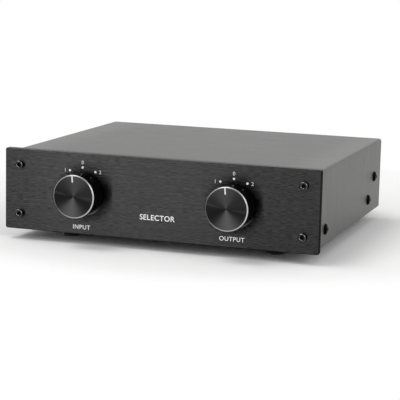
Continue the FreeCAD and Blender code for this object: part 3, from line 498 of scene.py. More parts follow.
@dataclass(frozen=True)
class PanelAnodising(BrushedAnodising):
    """Brushed along: a satin mirror, sharp across and blurred up and down, with plain cut edges; it carries
    painted shade and painted glints.
    """

    hubs: tuple[Fan, ...]        # one round each knob's axis, with the painted glint by its rim

    SPECULAR: ClassVar[float] = 0.78
    BLUR_TURN: ClassVar[float] = 0.25                            # turns the blur from along to across
    GLINT: ClassVar[float] = 1.9                                 # how much streaks dull the reflection
    FAINT_STREAK: ClassVar[float] = 0.37                         # the noise up to which they don't
    RIGHT_PAINTED_SHADE: ClassVar[Ramp] = Ramp(10 * MM, 90 * MM, 0.175)   # painted shade: duller to the right, by X
    LEFT_PAINTED_SHADE: ClassVar[Ramp] = Ramp(65 * MM, 115 * MM, 0.18)    # painted shade: duller to the left, by minus X
    LOW_PAINTED_SHADE: ClassVar[Ramp] = Ramp(-60 * MM, -10 * MM, 0.045)   # painted shade: duller downwards, by minus Z
    KNOB_PAINTED_SHADE: ClassVar[Ramp] = Ramp(14 * MM, 23 * MM, 0.48)       # painted shade: dull round a knob, up to here
    RIM_INNER: ClassVar[tuple[float, float]] = (14.4 * MM, 14.9 * MM)   # edges of the painted glint by a rim
    RIM_OUTER: ClassVar[tuple[float, float]] = (15.3 * MM, 15.7 * MM)
    FRONT: ClassVar[tuple[float, float]] = (-0.95, -0.75)        # how squarely the face faces forwards
    EDGE_TONE: ClassVar[float] = 0.003
    EDGE_ROUGHNESS: ClassVar[float] = 0.5
    EDGE_SPECULAR: ClassVar[float] = 0.012
    TOP_EDGE_PAINTED_LIGHT: ClassVar[Ramp] = Ramp(0.2, 0.8, 0.14)              # painted light: lighter where it faces up

    def paint(self, tree: ShaderTree) -> None:
        """Scratches tip the normal; what dulls the mirror is a metallic share over a dark colour, with
        painted shade and painted glints.

        Args:
            tree: the material's tree.
        """
        x, y, z = tree.split(tree.place())
        scratch, streak, shade = self.brushing(tree, x, z, y)
        # painted shade: the mirror is dulled towards both ends and the bottom, besides by its streaks
        streak_dulling_and_painted_shade = ((streak - self.FAINT_STREAK).positive() * self.GLINT + self.RIGHT_PAINTED_SHADE.at(tree, x)
                + self.LEFT_PAINTED_SHADE.at(tree, -x) + self.LOW_PAINTED_SHADE.at(tree, -z))
        for hub in self.hubs:
            out_x, out_z, away = hub.spread(tree)
            # painted shade: the mirror is dulled round each knob
            streak_dulling_and_painted_shade = streak_dulling_and_painted_shade + (self.KNOB_PAINTED_SHADE.amount - self.KNOB_PAINTED_SHADE.at(tree, away))
            # painted glint: an arc of light on the panel just outside each knob's rim
            rim = tree.step(away, *self.RIM_INNER) * (1.0 - tree.step(away, *self.RIM_OUTER))
            shade = shade + rim * hub.light(tree, out_x, out_z)
        face = tree.surface(tree.scaled(self.colour[:3], shade), streak.about(self.roughness, self.uneven),
                            tree.leaning(UPWARDS, scratch.about(0.0, self.slope)),
                            Specular_IOR_Level=self.SPECULAR, Anisotropic=1.0,
                            Anisotropic_Rotation=self.BLUR_TURN,
                            Metallic=streak_dulling_and_painted_shade.at_most(1.0))
        _, back, up = tree.facing()
        # painted light: the cut edge is painted lighter where it faces up, with no wear
        wear_and_painted_light = self.EDGE_TONE + self.TOP_EDGE_PAINTED_LIGHT.at(tree, up)
        edge = tree.surface(tree.join(wear_and_painted_light, wear_and_painted_light, wear_and_painted_light), self.EDGE_ROUGHNESS,
                            Specular_IOR_Level=self.EDGE_SPECULAR)
        tree.show(tree.blend(tree.step(back, *self.FRONT), face, edge))


@dataclass(frozen=True)
class SpunFace(Finish):
    """Face turned in one pass of the tool: fine rings, with wedge-shaped highlights painted into the colour.
    """

    fan: Fan

    RING_PITCH: ClassVar[float] = 0.12 * MM
    RING_SHADE: ClassVar[float] = 0.5
    SLOPE: ClassVar[float] = 0.8
    SPECULAR: ClassVar[float] = 0.08

    def paint(self, tree: ShaderTree) -> None:
        """Rings tip the normal outwards and inwards; the fan of light is painted into the colour as painted
        highlights.

        Args:
            tree: the material's tree.
        """
        out_x, out_z, radius = self.fan.spread(tree)
        rings = tree.noise(tree.join(radius / self.RING_PITCH, 0.0, 0.0), detail=2.0)
        # painted light: wedge-shaped highlights in the face's colour
        painted_shine = self.fan.light(tree, out_x, out_z) * rings.about(1.0, self.RING_SHADE)
        normal = tree.leaning(tree.join(out_x, 0.0, out_z), rings.about(0.0, self.SLOPE))
        tree.show(tree.surface(tree.scaled(self.colour[:3], painted_shine), self.roughness, normal,
                               Specular_IOR_Level=self.SPECULAR))


@dataclass(frozen=True)
class CutEdge(Finish):
    """Bright edge cut after anodising; its brightness round the clock is painted light, highlights and a
    darker patch in its colour.
    """

    fan: Fan

    def paint(self, tree: ShaderTree) -> None:
        """Bare metal with faint wear, and painted light round the clock.

        Args:
            tree: the material's tree.
        """
        out_x, out_z, _ = self.fan.spread(tree)
        wear_and_painted_light, roughness = self.wear(tree)
        painted_shine = self.fan.light(tree, out_x, out_z) * wear_and_painted_light
        tree.show(tree.surface(tree.scaled(self.colour[:3], painted_shine), roughness, Metallic=1.0))


@dataclass(frozen=True)
class TurnedAnodising(Finish):
    """Black anodising over fine turning marks along the axis."""

    MARK_PITCH: ClassVar[float] = 0.15 * MM
    ROUND_CELLS: ClassVar[float] = 40.0      # in a metre, across the axis
    SLOPE: ClassVar[float] = 0.1
    SPECULAR: ClassVar[float] = 0.025

    def paint(self, tree: ShaderTree) -> None:
        """Turning marks tip the normal along the axis; wear varies the tone a little.

        Args:
            tree: the material's tree.
        """
        x, y, z = tree.split(tree.place())
        marks = tree.noise(tree.join(x * self.ROUND_CELLS, y / self.MARK_PITCH, z * self.ROUND_CELLS),
                           detail=2.0)
        wear_and_painted_light, roughness = self.wear(tree)
        tree.show(tree.surface(tree.scaled(self.colour[:3], wear_and_painted_light), roughness,
                               tree.leaning(BACKWARDS, marks.about(0.0, self.SLOPE)),
                               Specular_IOR_Level=self.SPECULAR))


@dataclass(frozen=True)
class PlatedMetal(Finish):
    """Plated or bare metal with faint scratches and a slightly uneven tone."""

    tone: Colour                 # what the metal's colour drifts to
    metallic: float = 1.0

    CLOUD: ClassVar[float] = 2.5 * MM
    TONES: ClassVar[tuple[float, float]] = (0.3, 0.7)
    SCRATCH_CELLS: ClassVar[float] = 2600.0   # in a metre
    SCRATCH_RANGE: ClassVar[float] = 0.2      # how much scratches vary the roughness
    RELIEF: ClassVar[float] = 0.01 * MM

    def paint(self, tree: ShaderTree) -> None:
        """A cloud between the metal's colour and its tone; fine noise gives roughness and relief.

        Args:
            tree: the material's tree.
        """
        cloud = tree.step(tree.noise(tree.place(), scale=1 / self.CLOUD, detail=3.0), *self.TONES)
        fine = tree.noise(tree.place(), scale=self.SCRATCH_CELLS, detail=2.0)
        tree.show(tree.surface(tree.mix(cloud, self.colour, self.tone),
                               fine.about(self.roughness, self.SCRATCH_RANGE),
                               tree.bumpy(fine, self.RELIEF), Metallic=self.metallic))


class Pointing(Enum):
    """Which way the heads of a node's screws point."""

    FORWARDS = "out of the front"
    SIDEWAYS = "out of both sides"


@dataclass(frozen=True)
class BlackenedScrew(Finish):
    """Blackened socket screw, worn to a sheen on the flat of its head and along the head's edge."""

    pointing: Pointing
    reach: float                 # how far out the heads come, from the middle of the frame
    flat_sheen: float            # brightness that wear adds on the flat of a head
    edge_sheen: float            # and along its edge

    WORN_DEPTH: ClassVar[float] = 0.36 * MM               # below the head's front
    PLAIN_DEPTH: ClassVar[float] = 0.54 * MM              # from where nothing is worn
    FLAT: ClassVar[tuple[float, float]] = (0.90, 0.98)    # how squarely the flat of a head faces outwards
    WORN: ClassVar[tuple[float, float]] = (0.45, 0.60)    # and how squarely all that is worn does
    TEXTURE_CELLS: ClassVar[float] = 1500.0               # in a metre
    SPECULAR: ClassVar[float] = 0.03

    def paint(self, tree: ShaderTree) -> None:
        """The sheen depends on which way the surface faces, and fades below the head's front.

        Args:
            tree: the material's tree.
        """
        x, y, _ = tree.split(tree.place())
        sideways, backwards, _ = tree.facing()
        if self.pointing is Pointing.FORWARDS:
            outwards, facing = -y, -backwards
        else:
            outwards, facing = abs(x), abs(sideways)
        near = tree.step(outwards, self.reach - self.PLAIN_DEPTH, self.reach - self.WORN_DEPTH)
        flat = tree.step(facing, *self.FLAT) * near
        wear_and_painted_light = tree.step(facing, *self.WORN) * near
        light = self.colour[0] + flat * self.flat_sheen + (wear_and_painted_light - flat) * self.edge_sheen
        texture = tree.noise(tree.place(), scale=self.TEXTURE_CELLS, detail=3.0)
        tree.show(tree.surface(tree.join(light, light, light),
                               texture.about(self.roughness, ROUGHNESS_RANGE),
                               Metallic=wear_and_painted_light, Specular_IOR_Level=self.SPECULAR))


@dataclass(frozen=True)
class Coating(Finish):
    """Painted, moulded or rubber surface with a fine even texture."""

    cell: float                  # size of the texture
    relief: float                # its height
    variation: float = 0.15      # of the colour
    specular: float = 0.5
    coat: float = 0.0

    CLOUD_CELLS: ClassVar[float] = 12.5      # of the texture, in a cloud

    def paint(self, tree: ShaderTree) -> None:
        """Noise gives the texture; a broader cloud varies the colour.

        Args:
            tree: the material's tree.
        """
        texture = tree.noise(tree.place(), scale=1 / self.cell, detail=3.0)
        cloud = tree.noise(tree.place(), scale=1 / (self.CLOUD_CELLS * self.cell), detail=2.0)
        colour = tree.scaled(self.colour[:3], cloud.about(1.0, 2 * self.variation))
        tree.show(tree.surface(colour, texture.about(self.roughness, ROUGHNESS_RANGE),
                               tree.bumpy(texture, self.relief),
                               Specular_IOR_Level=self.specular, Coat_Weight=self.coat))


@dataclass(frozen=True)
class Laminate(Finish):
    """Phenolic board: paper fibres in brown resin."""

    fibre: Colour

    CELLS: ClassVar[tuple[float, float, float]] = (700.0, 4000.0, 5000.0)   # in a metre, each way
    FIBRES: ClassVar[tuple[float, float]] = (0.40, 0.65)
    RELIEF: ClassVar[float] = 0.01 * MM

    def paint(self, tree: ShaderTree) -> None:
        """Fibres as stretched noise between resin and fibre colour.

        Args:
            tree: the material's tree.
        """
        fibres = tree.noise(tree.arrow("MULTIPLY", tree.place(), self.CELLS), detail=4.0)
        colour = tree.mix(tree.step(fibres, *self.FIBRES), self.colour, self.fibre)
        tree.show(tree.surface(colour, self.roughness, tree.bumpy(fibres, self.RELIEF)))


WHITE = tint(1.0, 1.0, 1.0)
DEEP_BLACK = tint(0.001, 0.001, 0.001)
COVER_ANODISING = CoverAnodising("brushed_black_cover", tint(0.046, 0.045, 0.043), 0.40, slope=0.6,
                                 streaks=0.25, uneven=0.12, streak_length=60 * MM,
                                 streak_width=0.7 * MM)
KNOB_SIDE = TurnedAnodising("turned_black_knob", DEEP_BLACK, 0.15)
# painted glint on the front panel by each knob's rim
RIM_PAINTED_GLINT: Lobes = ((154.0, 15.0, 46.0),)
FACE_BASE = 0.0044               # painted brightness of a knob's face between the painted wedge-shaped highlights
# painted highlights: wedge-shaped lobes of light on the knobs' spun faces
FACE_PAINTED_WEDGES: Lobes = ((187.5, 6.0, 0.0514), (187.5, 3.0, 0.0327), (7.5, 3.0, 0.0471), (217.5, 40.0, 0.0105),
                      (82.5, 14.0, 0.0110), (300.0, 14.0, 0.0067))
# painted highlight lines on the knobs' spun faces
FACE_PAINTED_LINES: Lobes = ((95.0, 150.0, 0.0159), (281.0, 400.0, 0.0248))
EDGE_BASE = 0.28                 # painted brightness of its bright edge between the painted highlights
# painted highlight round the cut edge, and painted shade at 62 degrees
EDGE_PAINTED_WEDGES: Lobes = ((140.0, 0.5, 0.34), (62.0, 24.0, -0.15))
BLACK_OXIDE = PlatedMetal("blackened_steel", tint(0.02, 0.02, 0.021), 0.34, tint(0.035, 0.034, 0.033),
                          metallic=0.0)
ZINC = PlatedMetal("zinc_plate", tint(0.62, 0.64, 0.66), 0.32, tint(0.72, 0.71, 0.66))
STEEL = PlatedMetal("bright_steel_bar", tint(0.60, 0.59, 0.57), 0.25, tint(0.50, 0.50, 0.50))
GILT = PlatedMetal("gilt_brass", tint(0.95, 0.66, 0.25), 0.20, tint(0.88, 0.58, 0.20))
SILVER = PlatedMetal("silvered_brass_strip", tint(0.85, 0.83, 0.78), 0.28, tint(0.72, 0.68, 0.60))
SHEET_COAT = Coating("black_sheet_coat", tint(0.022, 0.022, 0.023), 0.50, 0.5 * MM, 0.02 * MM)
RUBBER = Coating("black_rubber", tint(0.020, 0.020, 0.020), 0.75, 0.35 * MM, 0.02 * MM, specular=0.3)
RED_PLASTIC = Coating("red_moulding", tint(0.50, 0.012, 0.010), 0.28, 0.6 * MM, 0.006 * MM, coat=0.3)
BLACK_PLASTIC = Coating("black_moulding", tint(0.014, 0.014, 0.015), 0.28, 0.6 * MM, 0.006 * MM, coat=0.3)
RED_JACKET = Coating("red_wire_jacket", tint(0.55, 0.02, 0.015), 0.40, 0.5 * MM, 0.01 * MM)
BLACK_JACKET = Coating("black_wire_jacket", tint(0.02, 0.02, 0.02), 0.42, 0.5 * MM, 0.01 * MM)
PHENOLIC = Laminate("phenolic_board", tint(0.20, 0.085, 0.030), 0.45, tint(0.30, 0.15, 0.06))
INK = Coating("white_ink", tint(0.90, 0.90, 0.90), 0.45, 0.2 * MM, 0.004 * MM, variation=0.03)
POINTER_INK = Coating("pointer_ink", tint(0.66, 0.66, 0.66), 0.45, 0.2 * MM, 0.004 * MM, variation=0.03)


# ------------------------------------------------------------------ mesh work
SHARP_ABOVE = math.radians(30.0)  # edges that turn by more stay sharp
ROUNDING_STEPS = 4                # in each softened corner
KNOB_STEPS = 192                  # round a turned knob
HOLE_STEPS = 48
END_STEPS = 12                    # in a half circle
DOT_STEPS = 32


@dataclass(frozen=True)
class Corner:
    """A corner of a turned outline."""

    radius: float
    depth: float                 # behind the front end, along the axis
    finish: Finish               # of the surface that starts here
    soft: float = 0.0            # rounding of the corner


def softened(corners: Sequence[Corner]) -> list[Corner]:
    """Replace each soft corner by points on its rounding.

    Args:
        corners: the outline, open at both ends.

    Returns:
        The outline with more points.
    """
    made: list[Corner] = []
    for i, corner in enumerate(corners):
        if corner.soft == 0.0:
            made.append(corner)
            continue
        here = Vector((corner.radius, corner.depth))
        back = (Vector((corners[i - 1].radius, corners[i - 1].depth)) - here).normalized()
        ahead = (Vector((corners[i + 1].radius, corners[i + 1].depth)) - here).normalized()
        half = back.angle(ahead) / 2
        start = here + back * (corner.soft / math.tan(half))
        centre = here + (back + ahead).normalized() * (corner.soft / math.sin(half))
        sweep = (start - centre).angle_signed(here + ahead * (corner.soft / math.tan(half)) - centre)
        for step in range(ROUNDING_STEPS + 1):
            arm = Matrix.Rotation(-sweep * step / ROUNDING_STEPS, 2) @ (start - centre)
            made.append(Corner(centre.x + arm.x, centre.y + arm.y, corner.finish))
    return made


def place_object(name: str, data: Any) -> bpy.types.Object:
    """Put a new object into the scene.

    Args:
        name: the object's name.
        data: its mesh, lamp or camera.

    Returns:
        The new object.
    """
    made = bpy.data.objects.new(name, data)
    bpy.context.scene.collection.objects.link(made)
    return made


def shade(data: bpy.types.Mesh) -> None:
    """Shade a mesh smooth, apart from its sharp edges."""
    data.polygons.foreach_set("use_smooth", [True] * len(data.polygons))
    data.set_sharp_from_angle(angle=SHARP_ABOVE)


def as_object(name: str, mesh: bmesh.types.BMesh, finishes: Iterable[Finish]) -> bpy.types.Object:
    """Turn a mesh under construction into an object of the scene.

    Args:
        name: the object's name.
        mesh: the mesh; it is freed.
        finishes: its finishes, in the order of its face indices.

    Returns:
        The new object.
    """
    bmesh.ops.recalc_face_normals(mesh, faces=mesh.faces)
    data = bpy.data.meshes.new(name)
    mesh.to_mesh(data)
    mesh.free()
    for finish in finishes:
        data.materials.append(finish.material())
    shade(data)
    return place_object(name, data)


def circle_point(radius: float, i: int, steps: int) -> tuple[float, float]:
    """One of the points round a circle."""
    turn = i * math.tau / steps
    return radius * math.cos(turn), radius * math.sin(turn)


def lathe(name: str, corners: Sequence[Corner], front: Vector) -> bpy.types.Object:
    """Turn an outline round an axis along Y.

    Args:
        name: the object's name.
        corners: the outline, from the axis at the front round to the axis at the back.
        front: where the axis starts; depths run back from here.

    Returns:
        The turned object, with one material for each finish.
    """
    outline = softened(corners)
    finishes = list(dict.fromkeys(corner.finish for corner in outline))
    mesh = bmesh.new()
    rings: list[list[bmesh.types.BMVert]] = []
    for corner in outline:
        count = 1 if corner.radius == 0.0 else KNOB_STEPS
        points = (circle_point(corner.radius, i, count) for i in range(count))
        rings.append([mesh.verts.new(front + Vector((x, corner.depth, z))) for x, z in points])
    for corner, ring, after in zip(outline, rings, rings[1:]):
        for i in range(KNOB_STEPS):
            j = (i + 1) % KNOB_STEPS
            ring_side = [ring[i], ring[j]] if len(ring) > 1 else [ring[0]]
            after_side = [after[j], after[i]] if len(after) > 1 else [after[0]]
            face = mesh.faces.new(ring_side + after_side)
            face.material_index = finishes.index(corner.finish)
    return as_object(name, mesh, finishes)


def skin(mesh: bmesh.types.BMesh, outlines: Sequence[Outline]) -> None:
    """Add a closed body through flat outlines, one behind another and each with as many points.

    Args:
        mesh: the mesh under construction.
        outlines: closed outlines in order.
    """
    rings = [[mesh.verts.new(point) for point in outline] for outline in outlines]
    mesh.faces.new(rings[0])
    mesh.faces.new(rings[-1])
    for ring, after in zip(rings, rings[1:]):
        for i in range(len(ring)):
            mesh.faces.new((ring[i - 1], ring[i], after[i], after[i - 1]))


def loft(name: str, near: Outline, far: Outline, finish: Finish) -> bpy.types.Object:
    """A closed body between two flat outlines with the same number of points.

    Args:
        name: the body's name.
        near: one outline.
        far: the other.
        finish: its finish.

    Returns:
        The body.
    """
    mesh = bmesh.new()
    skin(mesh, (near, far))
    return as_object(name, mesh, [finish])


def carve(piece: bpy.types.Object, cutters: Sequence[bpy.types.Object]) -> None:
    """Cut bodies out of a piece and throw the cutters away.

    Args:
        piece: what is cut.
        cutters: closed bodies; their material goes onto the cut faces.
    """
    for cutter in cutters:
        cut = piece.modifiers.new("cut", "BOOLEAN")
        cut.operation = "DIFFERENCE"
        cut.solver = "EXACT"
        cut.material_mode = "TRANSFER"
        cut.object = cutter
    evaluated = piece.evaluated_get(bpy.context.evaluated_depsgraph_get())
    data = bpy.data.meshes.new_from_object(evaluated)
    piece.modifiers.clear()
    piece.data = data
    for cutter in cutters:
        bpy.data.objects.remove(cutter)
    shade(data)


def dress(node: str, finish: Finish) -> None:
    """Give a node of the frame its finish.

    Args:
        node: the node's name.
        finish: its finish.
    """
    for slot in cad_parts[node].material_slots:
        slot.material = finish.material()
    LOG.info("%s: %s", node, finish.name)


def corners_of(node: str) -> tuple[Vector, Vector]:
    """The lowest and the highest corner of a node of the frame."""
    low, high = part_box(node)
    return Vector(low), Vector(high)


def middle_of(node: str) -> Vector:
    """The middle of a node of the frame."""
    low, high = corners_of(node)
    return (low + high) / 2


def add_piece(piece: bpy.types.Object, body: str, slot: str, *replaced: str) -> None:
    """Take a new piece into the object.

    Args:
        piece: the piece, in place.
        body: the body that it rides on.
        slot: its material slot in the record; not used.
        replaced: nodes of the frame that it stands for.
    """
    if replaced:
        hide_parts(*replaced)
    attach(piece, body)
    LOG.info("%s rides on %s", piece.name, body)


# ------------------------------------------------------------------ sub-assemblies
class Side(Enum):
    """Which of the two switches, as seen from the front."""

    LEFT = "left"
    RIGHT = "right"

    def named(self, part: str) -> str:
        """The name of this side's part."""
        return f"{self.value}_{part}"


@dataclass(frozen=True)
class Selector:
    """One rotary switch: its knob is turned anew, the mechanism behind keeps the frame's shapes."""

    side: Side
    pointer_skew: float          # degrees clockwise, as the knob is clamped
    wedge_turn: float            # degrees clockwise, of the painted light on the knob's face
    chamfer: float = 0.7 * MM    # the bright edge
    rear_chamfer: float = 0.5 * MM
    edge_soft: float = 0.12 * MM
    rim: float = 5.0 * MM        # wall round the hollow back
    hollow_depth: float = 4.4 * MM
    bore_radius: float = 3.03 * MM
    bore_end: float = 3.0 * MM   # behind the face
    pointer_width: float = 1.0 * MM
    pointer_length: float = 5.2 * MM
    pointer_depth: float = 0.25 * MM
    pointer_ink_depth: float = 0.03 * MM     # of the ink's top, below the face
    grub_hole_radius: float = 1.55 * MM
    grub_setback: float = 6.0 * MM           # of the hole, behind the face
    cut_past: float = 1.0 * MM   # how far a cutter reaches past the knob
    face_roughness: float = 0.35
    edge_roughness: float = 0.34

    finishes: ClassVar[dict[str, Finish]] = {
        "set_screw": BLACK_OXIDE, "shaft": STEEL, "detent_wheel": STEEL, "rotors": PHENOLIC,
        "rotor_blades": SILVER, "switch_plate": ZINC, "index_frame": ZINC,
        "click_spring": STEEL, "wafers": PHENOLIC}

    @property
    def body(self) -> str:
        """The body that turns."""
        return self.side.named("selector")

    def build(self) -> None:
        """Make the knob and its pointer, and dress the mechanism."""
        low, high = corners_of(self.side.named("knob"))
        radius = (high.x - low.x) / 2
        length = high.y - low.y
        front = Vector((low.x + radius, low.y, (low.z + high.z) / 2))
        knob = self.turned_knob(front, radius, length)
        add_piece(knob, self.body, "black_anodised_knob", self.side.named("knob"))
        pointer = loft(self.side.named("pointer"), *self.pointer_outlines(front, radius), POINTER_INK)
        add_piece(pointer, self.body, "white_ink")
        for node, finish in self.finishes.items():
            dress(self.side.named(node), finish)

    def turned_knob(self, front: Vector, radius: float, length: float) -> bpy.types.Object:
        """The knob: spun face, bright chamfer, hollow back, pointer groove and set screw hole.

        Args:
            front: middle of its face.
            radius: of its side.
            length: from face to back.

        Returns:
            The knob.
        """
        painted_wedges = tuple((clock + self.wedge_turn, sharpness, strength)
                       for clock, sharpness, strength in FACE_PAINTED_WEDGES)
        face = SpunFace(self.side.named("spun_face"), WHITE, self.face_roughness,
                        Fan(front.x, front.z, FACE_BASE, painted_wedges + FACE_PAINTED_LINES))
        cut = CutEdge(self.side.named("cut_edge"), WHITE, self.edge_roughness,
                      Fan(front.x, front.z, EDGE_BASE, EDGE_PAINTED_WEDGES))
        hollow = radius - self.rim
        knob = lathe(self.side.named("turned_knob"), [
            Corner(0.0, 0.0, face),
            Corner(radius - self.chamfer, 0.0, cut, self.edge_soft),
            Corner(radius, self.chamfer, KNOB_SIDE, self.edge_soft),
            Corner(radius, length - self.rear_chamfer, KNOB_SIDE, self.edge_soft),
            Corner(radius - self.rear_chamfer, length, KNOB_SIDE),
            Corner(hollow, length, KNOB_SIDE),
            Corner(hollow, length - self.hollow_depth, KNOB_SIDE),
            Corner(self.bore_radius, length - self.hollow_depth, KNOB_SIDE),
            Corner(self.bore_radius, self.bore_end, KNOB_SIDE),
            Corner(0.0, self.bore_end, KNOB_SIDE),
        ], front)
        carve(knob, [self.groove_cutter(front, radius), self.grub_cutter(front, radius)])
        return knob

    def bar(self, front: Vector, inner: float, outer: float, depth: float) -> Outline:
        """A bar that points outwards from the knob's axis, with a round inner end.

        Args:
            front: middle of the knob's face.
            inner: where the round end starts, from the axis.
            outer: where the square end is.
            depth: how far behind the face it lies.

        Returns:
            Its outline, turned by the pointer's skew.
        """
        half = self.pointer_width / 2
        points = [(half, outer), (-half, outer)]
        for i in range(END_STEPS, 2 * END_STEPS + 1):
            x, z = circle_point(half, i, 2 * END_STEPS)
            points.append((x, inner + half + z))
        skew = Matrix.Rotation(math.radians(self.pointer_skew), 3, "Y")
        return [front + skew @ Vector((x, depth, z)) for x, z in points]

    def groove_cutter(self, front: Vector, radius: float) -> bpy.types.Object:
        """What the pointer's groove is cut with.

        Args:
            front: middle of the knob's face.
            radius: of its side.

        Returns:
            The cutter.
        """
        inner = radius - self.pointer_length
        outer = radius + self.cut_past
        return loft("groove_cutter", self.bar(front, inner, outer, -self.cut_past),
                    self.bar(front, inner, outer, self.pointer_depth), POINTER_INK)

    def pointer_outlines(self, front: Vector, radius: float) -> tuple[Outline, Outline]:
        """The ink in the groove: its top just under the face, its outer end along the chamfer.

        Args:
            front: middle of the knob's face.
            radius: of its side.

        Returns:
            The outlines of the ink's top and bottom.
        """
        inner = radius - self.pointer_length
        edge = radius - self.chamfer
        return (self.bar(front, inner, edge + self.pointer_ink_depth, self.pointer_ink_depth),
                self.bar(front, inner, edge + self.pointer_depth, self.pointer_depth))

    def grub_cutter(self, front: Vector, radius: float) -> bpy.types.Object:
        """What the set screw's hole is cut with, from the axis downwards.

        Args:
            front: middle of the knob's face.
            radius: of its side.

        Returns:
            The cutter.
        """
        points = (circle_point(self.grub_hole_radius, i, HOLE_STEPS) for i in range(HOLE_STEPS))
        ring = [front + Vector((x, self.grub_setback + y, 0.0)) for x, y in points]
        drop = Vector((0.0, 0.0, radius + self.cut_past))
        return loft("grub_cutter", ring, [point - drop for point in ring], KNOB_SIDE)


@dataclass(frozen=True)
class Case:
    """Front panel, cover, tray, rear panel, feet and fasteners: the frame's shapes with finishes."""

    finishes: ClassVar[dict[str, Finish]] = {
        "top_cover": COVER_ANODISING, "chassis_tray": SHEET_COAT,
        "rear_panel": SHEET_COAT, "rubber_feet": RUBBER, "foot_screws": ZINC, "foot_nuts": ZINC,
        "panel_clinch_nuts": ZINC, "cover_clinch_nuts": ZINC, "contact_clips": SILVER,
        "tie_screws": ZINC, "tie_spacers": ZINC, "bushing_nuts": ZINC, "bushing_washers": ZINC}

    def build(self) -> None:
        """Finish the nodes of the case and the small parts that both switches share."""
        for node, finish in self.finishes.items():
            dress(node, finish)
        axes = [middle_of(side.named("knob")) for side in Side]
        dress("front_panel", PanelAnodising(
            "brushed_black_panel", tint(0.003, 0.003, 0.003), 0.205, slope=0.5, streaks=2.0, uneven=0.06,
            streak_length=4.5 * MM, streak_width=0.34 * MM,
            hubs=tuple(Fan(axis.x, axis.z, 0.0, RIM_PAINTED_GLINT) for axis in axes)))
        front = corners_of("panel_screws")[0].y
        side = corners_of("cover_screws")[1].x
        dress("panel_screws", BlackenedScrew("blackened_cap_screw", DEEP_BLACK, 0.25,
                                             Pointing.FORWARDS, reach=-front, flat_sheen=0.025,
                                             edge_sheen=0.12))
        dress("cover_screws", BlackenedScrew("blackened_button_screw", DEEP_BLACK, 0.25,
                                             Pointing.SIDEWAYS, reach=side, flat_sheen=0.07,
                                             edge_sheen=0.0))


@dataclass(frozen=True)
class BindingPosts:
    """Sixteen binding posts and the wires behind them."""

    finishes: ClassVar[dict[str, Finish]] = {
        "binding_post_studs": GILT, "post_nuts": GILT, "solder_terminals": GILT,
        "red_post_bases": RED_PLASTIC, "black_post_bases": BLACK_PLASTIC,
        "inner_insulators": BLACK_PLASTIC, "red_wires": RED_JACKET, "black_wires": BLACK_JACKET}

    def build(self) -> None:
        """Finish the nodes; a plus cap is red and a minus cap black."""
        for node, finish in self.finishes.items():
            dress(node, finish)
        for node in sorted(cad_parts):
            if node.endswith("_plus_cap"):
                dress(node, RED_PLASTIC)
            elif node.endswith("_minus_cap"):
                dress(node, BLACK_PLASTIC)


class Facing(Enum):
    """Which side of the case a print is on, as the turn about Z of a print that faces forwards."""

    FRONT = 0.0
    REAR = 180.0


@dataclass(frozen=True)
class Print:
    """White printing on a flat face: letters, digits and dots of ink, a hair proud of the metal."""

    name: str
    facing: Facing
    surface_y: float
    ink: float = 0.02 * MM

    DOT_TOP: ClassVar[float] = 0.94      # width of a dot's top, as a share of its foot
    HALF_DEPTH: ClassVar[float] = 0.5    # of a letter, before it is scaled to the ink
    CURVE_STEPS: ClassVar[int] = 5       # in each stretch of a letter's outline

    def lettering(self, mesh: bmesh.types.BMesh, text: str, x: float, z: float, height: float,
                  spacing: float = 1.0, weight: float = 0.0) -> None:
        """Add a line of text.

        Args:
            mesh: the print under construction.
            text: what it says.
            x: its middle.
            z: its middle.
            height: of its capitals.
            spacing: between its letters, 1 is normal.
            weight: how much thicker its strokes are, as a share of the size.
        """
        curve = bpy.data.curves.new(self.name, "FONT")
        curve.body = text
        curve.space_character = spacing
        curve.offset = weight
        curve.extrude = self.HALF_DEPTH
        curve.resolution_u = self.CURVE_STEPS
        carrier = bpy.data.objects.new(self.name, curve)
        data = bpy.data.meshes.new_from_object(carrier)
        low = Vector(min(vertex.co[axis] for vertex in data.vertices) for axis in range(3))
        high = Vector(max(vertex.co[axis] for vertex in data.vertices) for axis in range(3))
        scale = height / (high.y - low.y)
        data.transform(Matrix.Translation(-(low + high) / 2))
        data.transform(Matrix.Diagonal((scale, scale, self.ink, 1.0)))
        data.transform(self.placing(x, z))
        mesh.from_mesh(data)
        bpy.data.objects.remove(carrier)

    def dot(self, mesh: bmesh.types.BMesh, x: float, z: float, diameter: float) -> None:
        """Add a round dot.

        Args:
            mesh: the print under construction.
            x: its middle.
            z: its middle.
            diameter: its size.
        """
        placing = self.placing(x, z)
        circle = [circle_point(diameter / 2, i, DOT_STEPS) for i in range(DOT_STEPS)]
        skin(mesh, [[placing @ Vector((share * across, share * up, lift)) for across, up in circle]
                    for share, lift in ((1.0, -self.ink / 2), (1.0, self.ink / 4),
                                        (self.DOT_TOP, self.ink / 2))])

    def stroke(self, mesh: bmesh.types.BMesh, x: float, z: float, width: float, height: float) -> None:
        """Add an upright rectangle of ink.

        Args:
            mesh: the print under construction.
            x: its middle.
            z: its middle.
            width: its size in X.
            height: its size in Z.
        """
        placing = self.placing(x, z)
        skin(mesh, [[placing @ Vector((width / 2 * across, height / 2 * up, lift))
                     for across, up in ((-1, -1), (1, -1), (1, 1), (-1, 1))]
                    for lift in (-self.ink / 2, self.ink / 2)])

    def placing(self, x: float, z: float) -> Matrix:
        """How a drawing that faces up is carried to its place.

        Args:
            x: where the drawing's middle goes.
            z: the same in Z.

        Returns:
            The transform, onto the surface and facing away from it.
        """
        outward = self.ink / 2 * (1 if self.facing is Facing.REAR else -1)
        return (Matrix.Translation((x, self.surface_y + outward, z))
                @ Matrix.Rotation(math.radians(self.facing.value), 4, "Z")
                @ Matrix.Rotation(math.pi / 2, 4, "X"))

    def finish(self, mesh: bmesh.types.BMesh) -> None:
        """Take the finished print into the object."""
        add_piece(as_object(self.name, mesh, [INK]), "chassis", "white_ink")


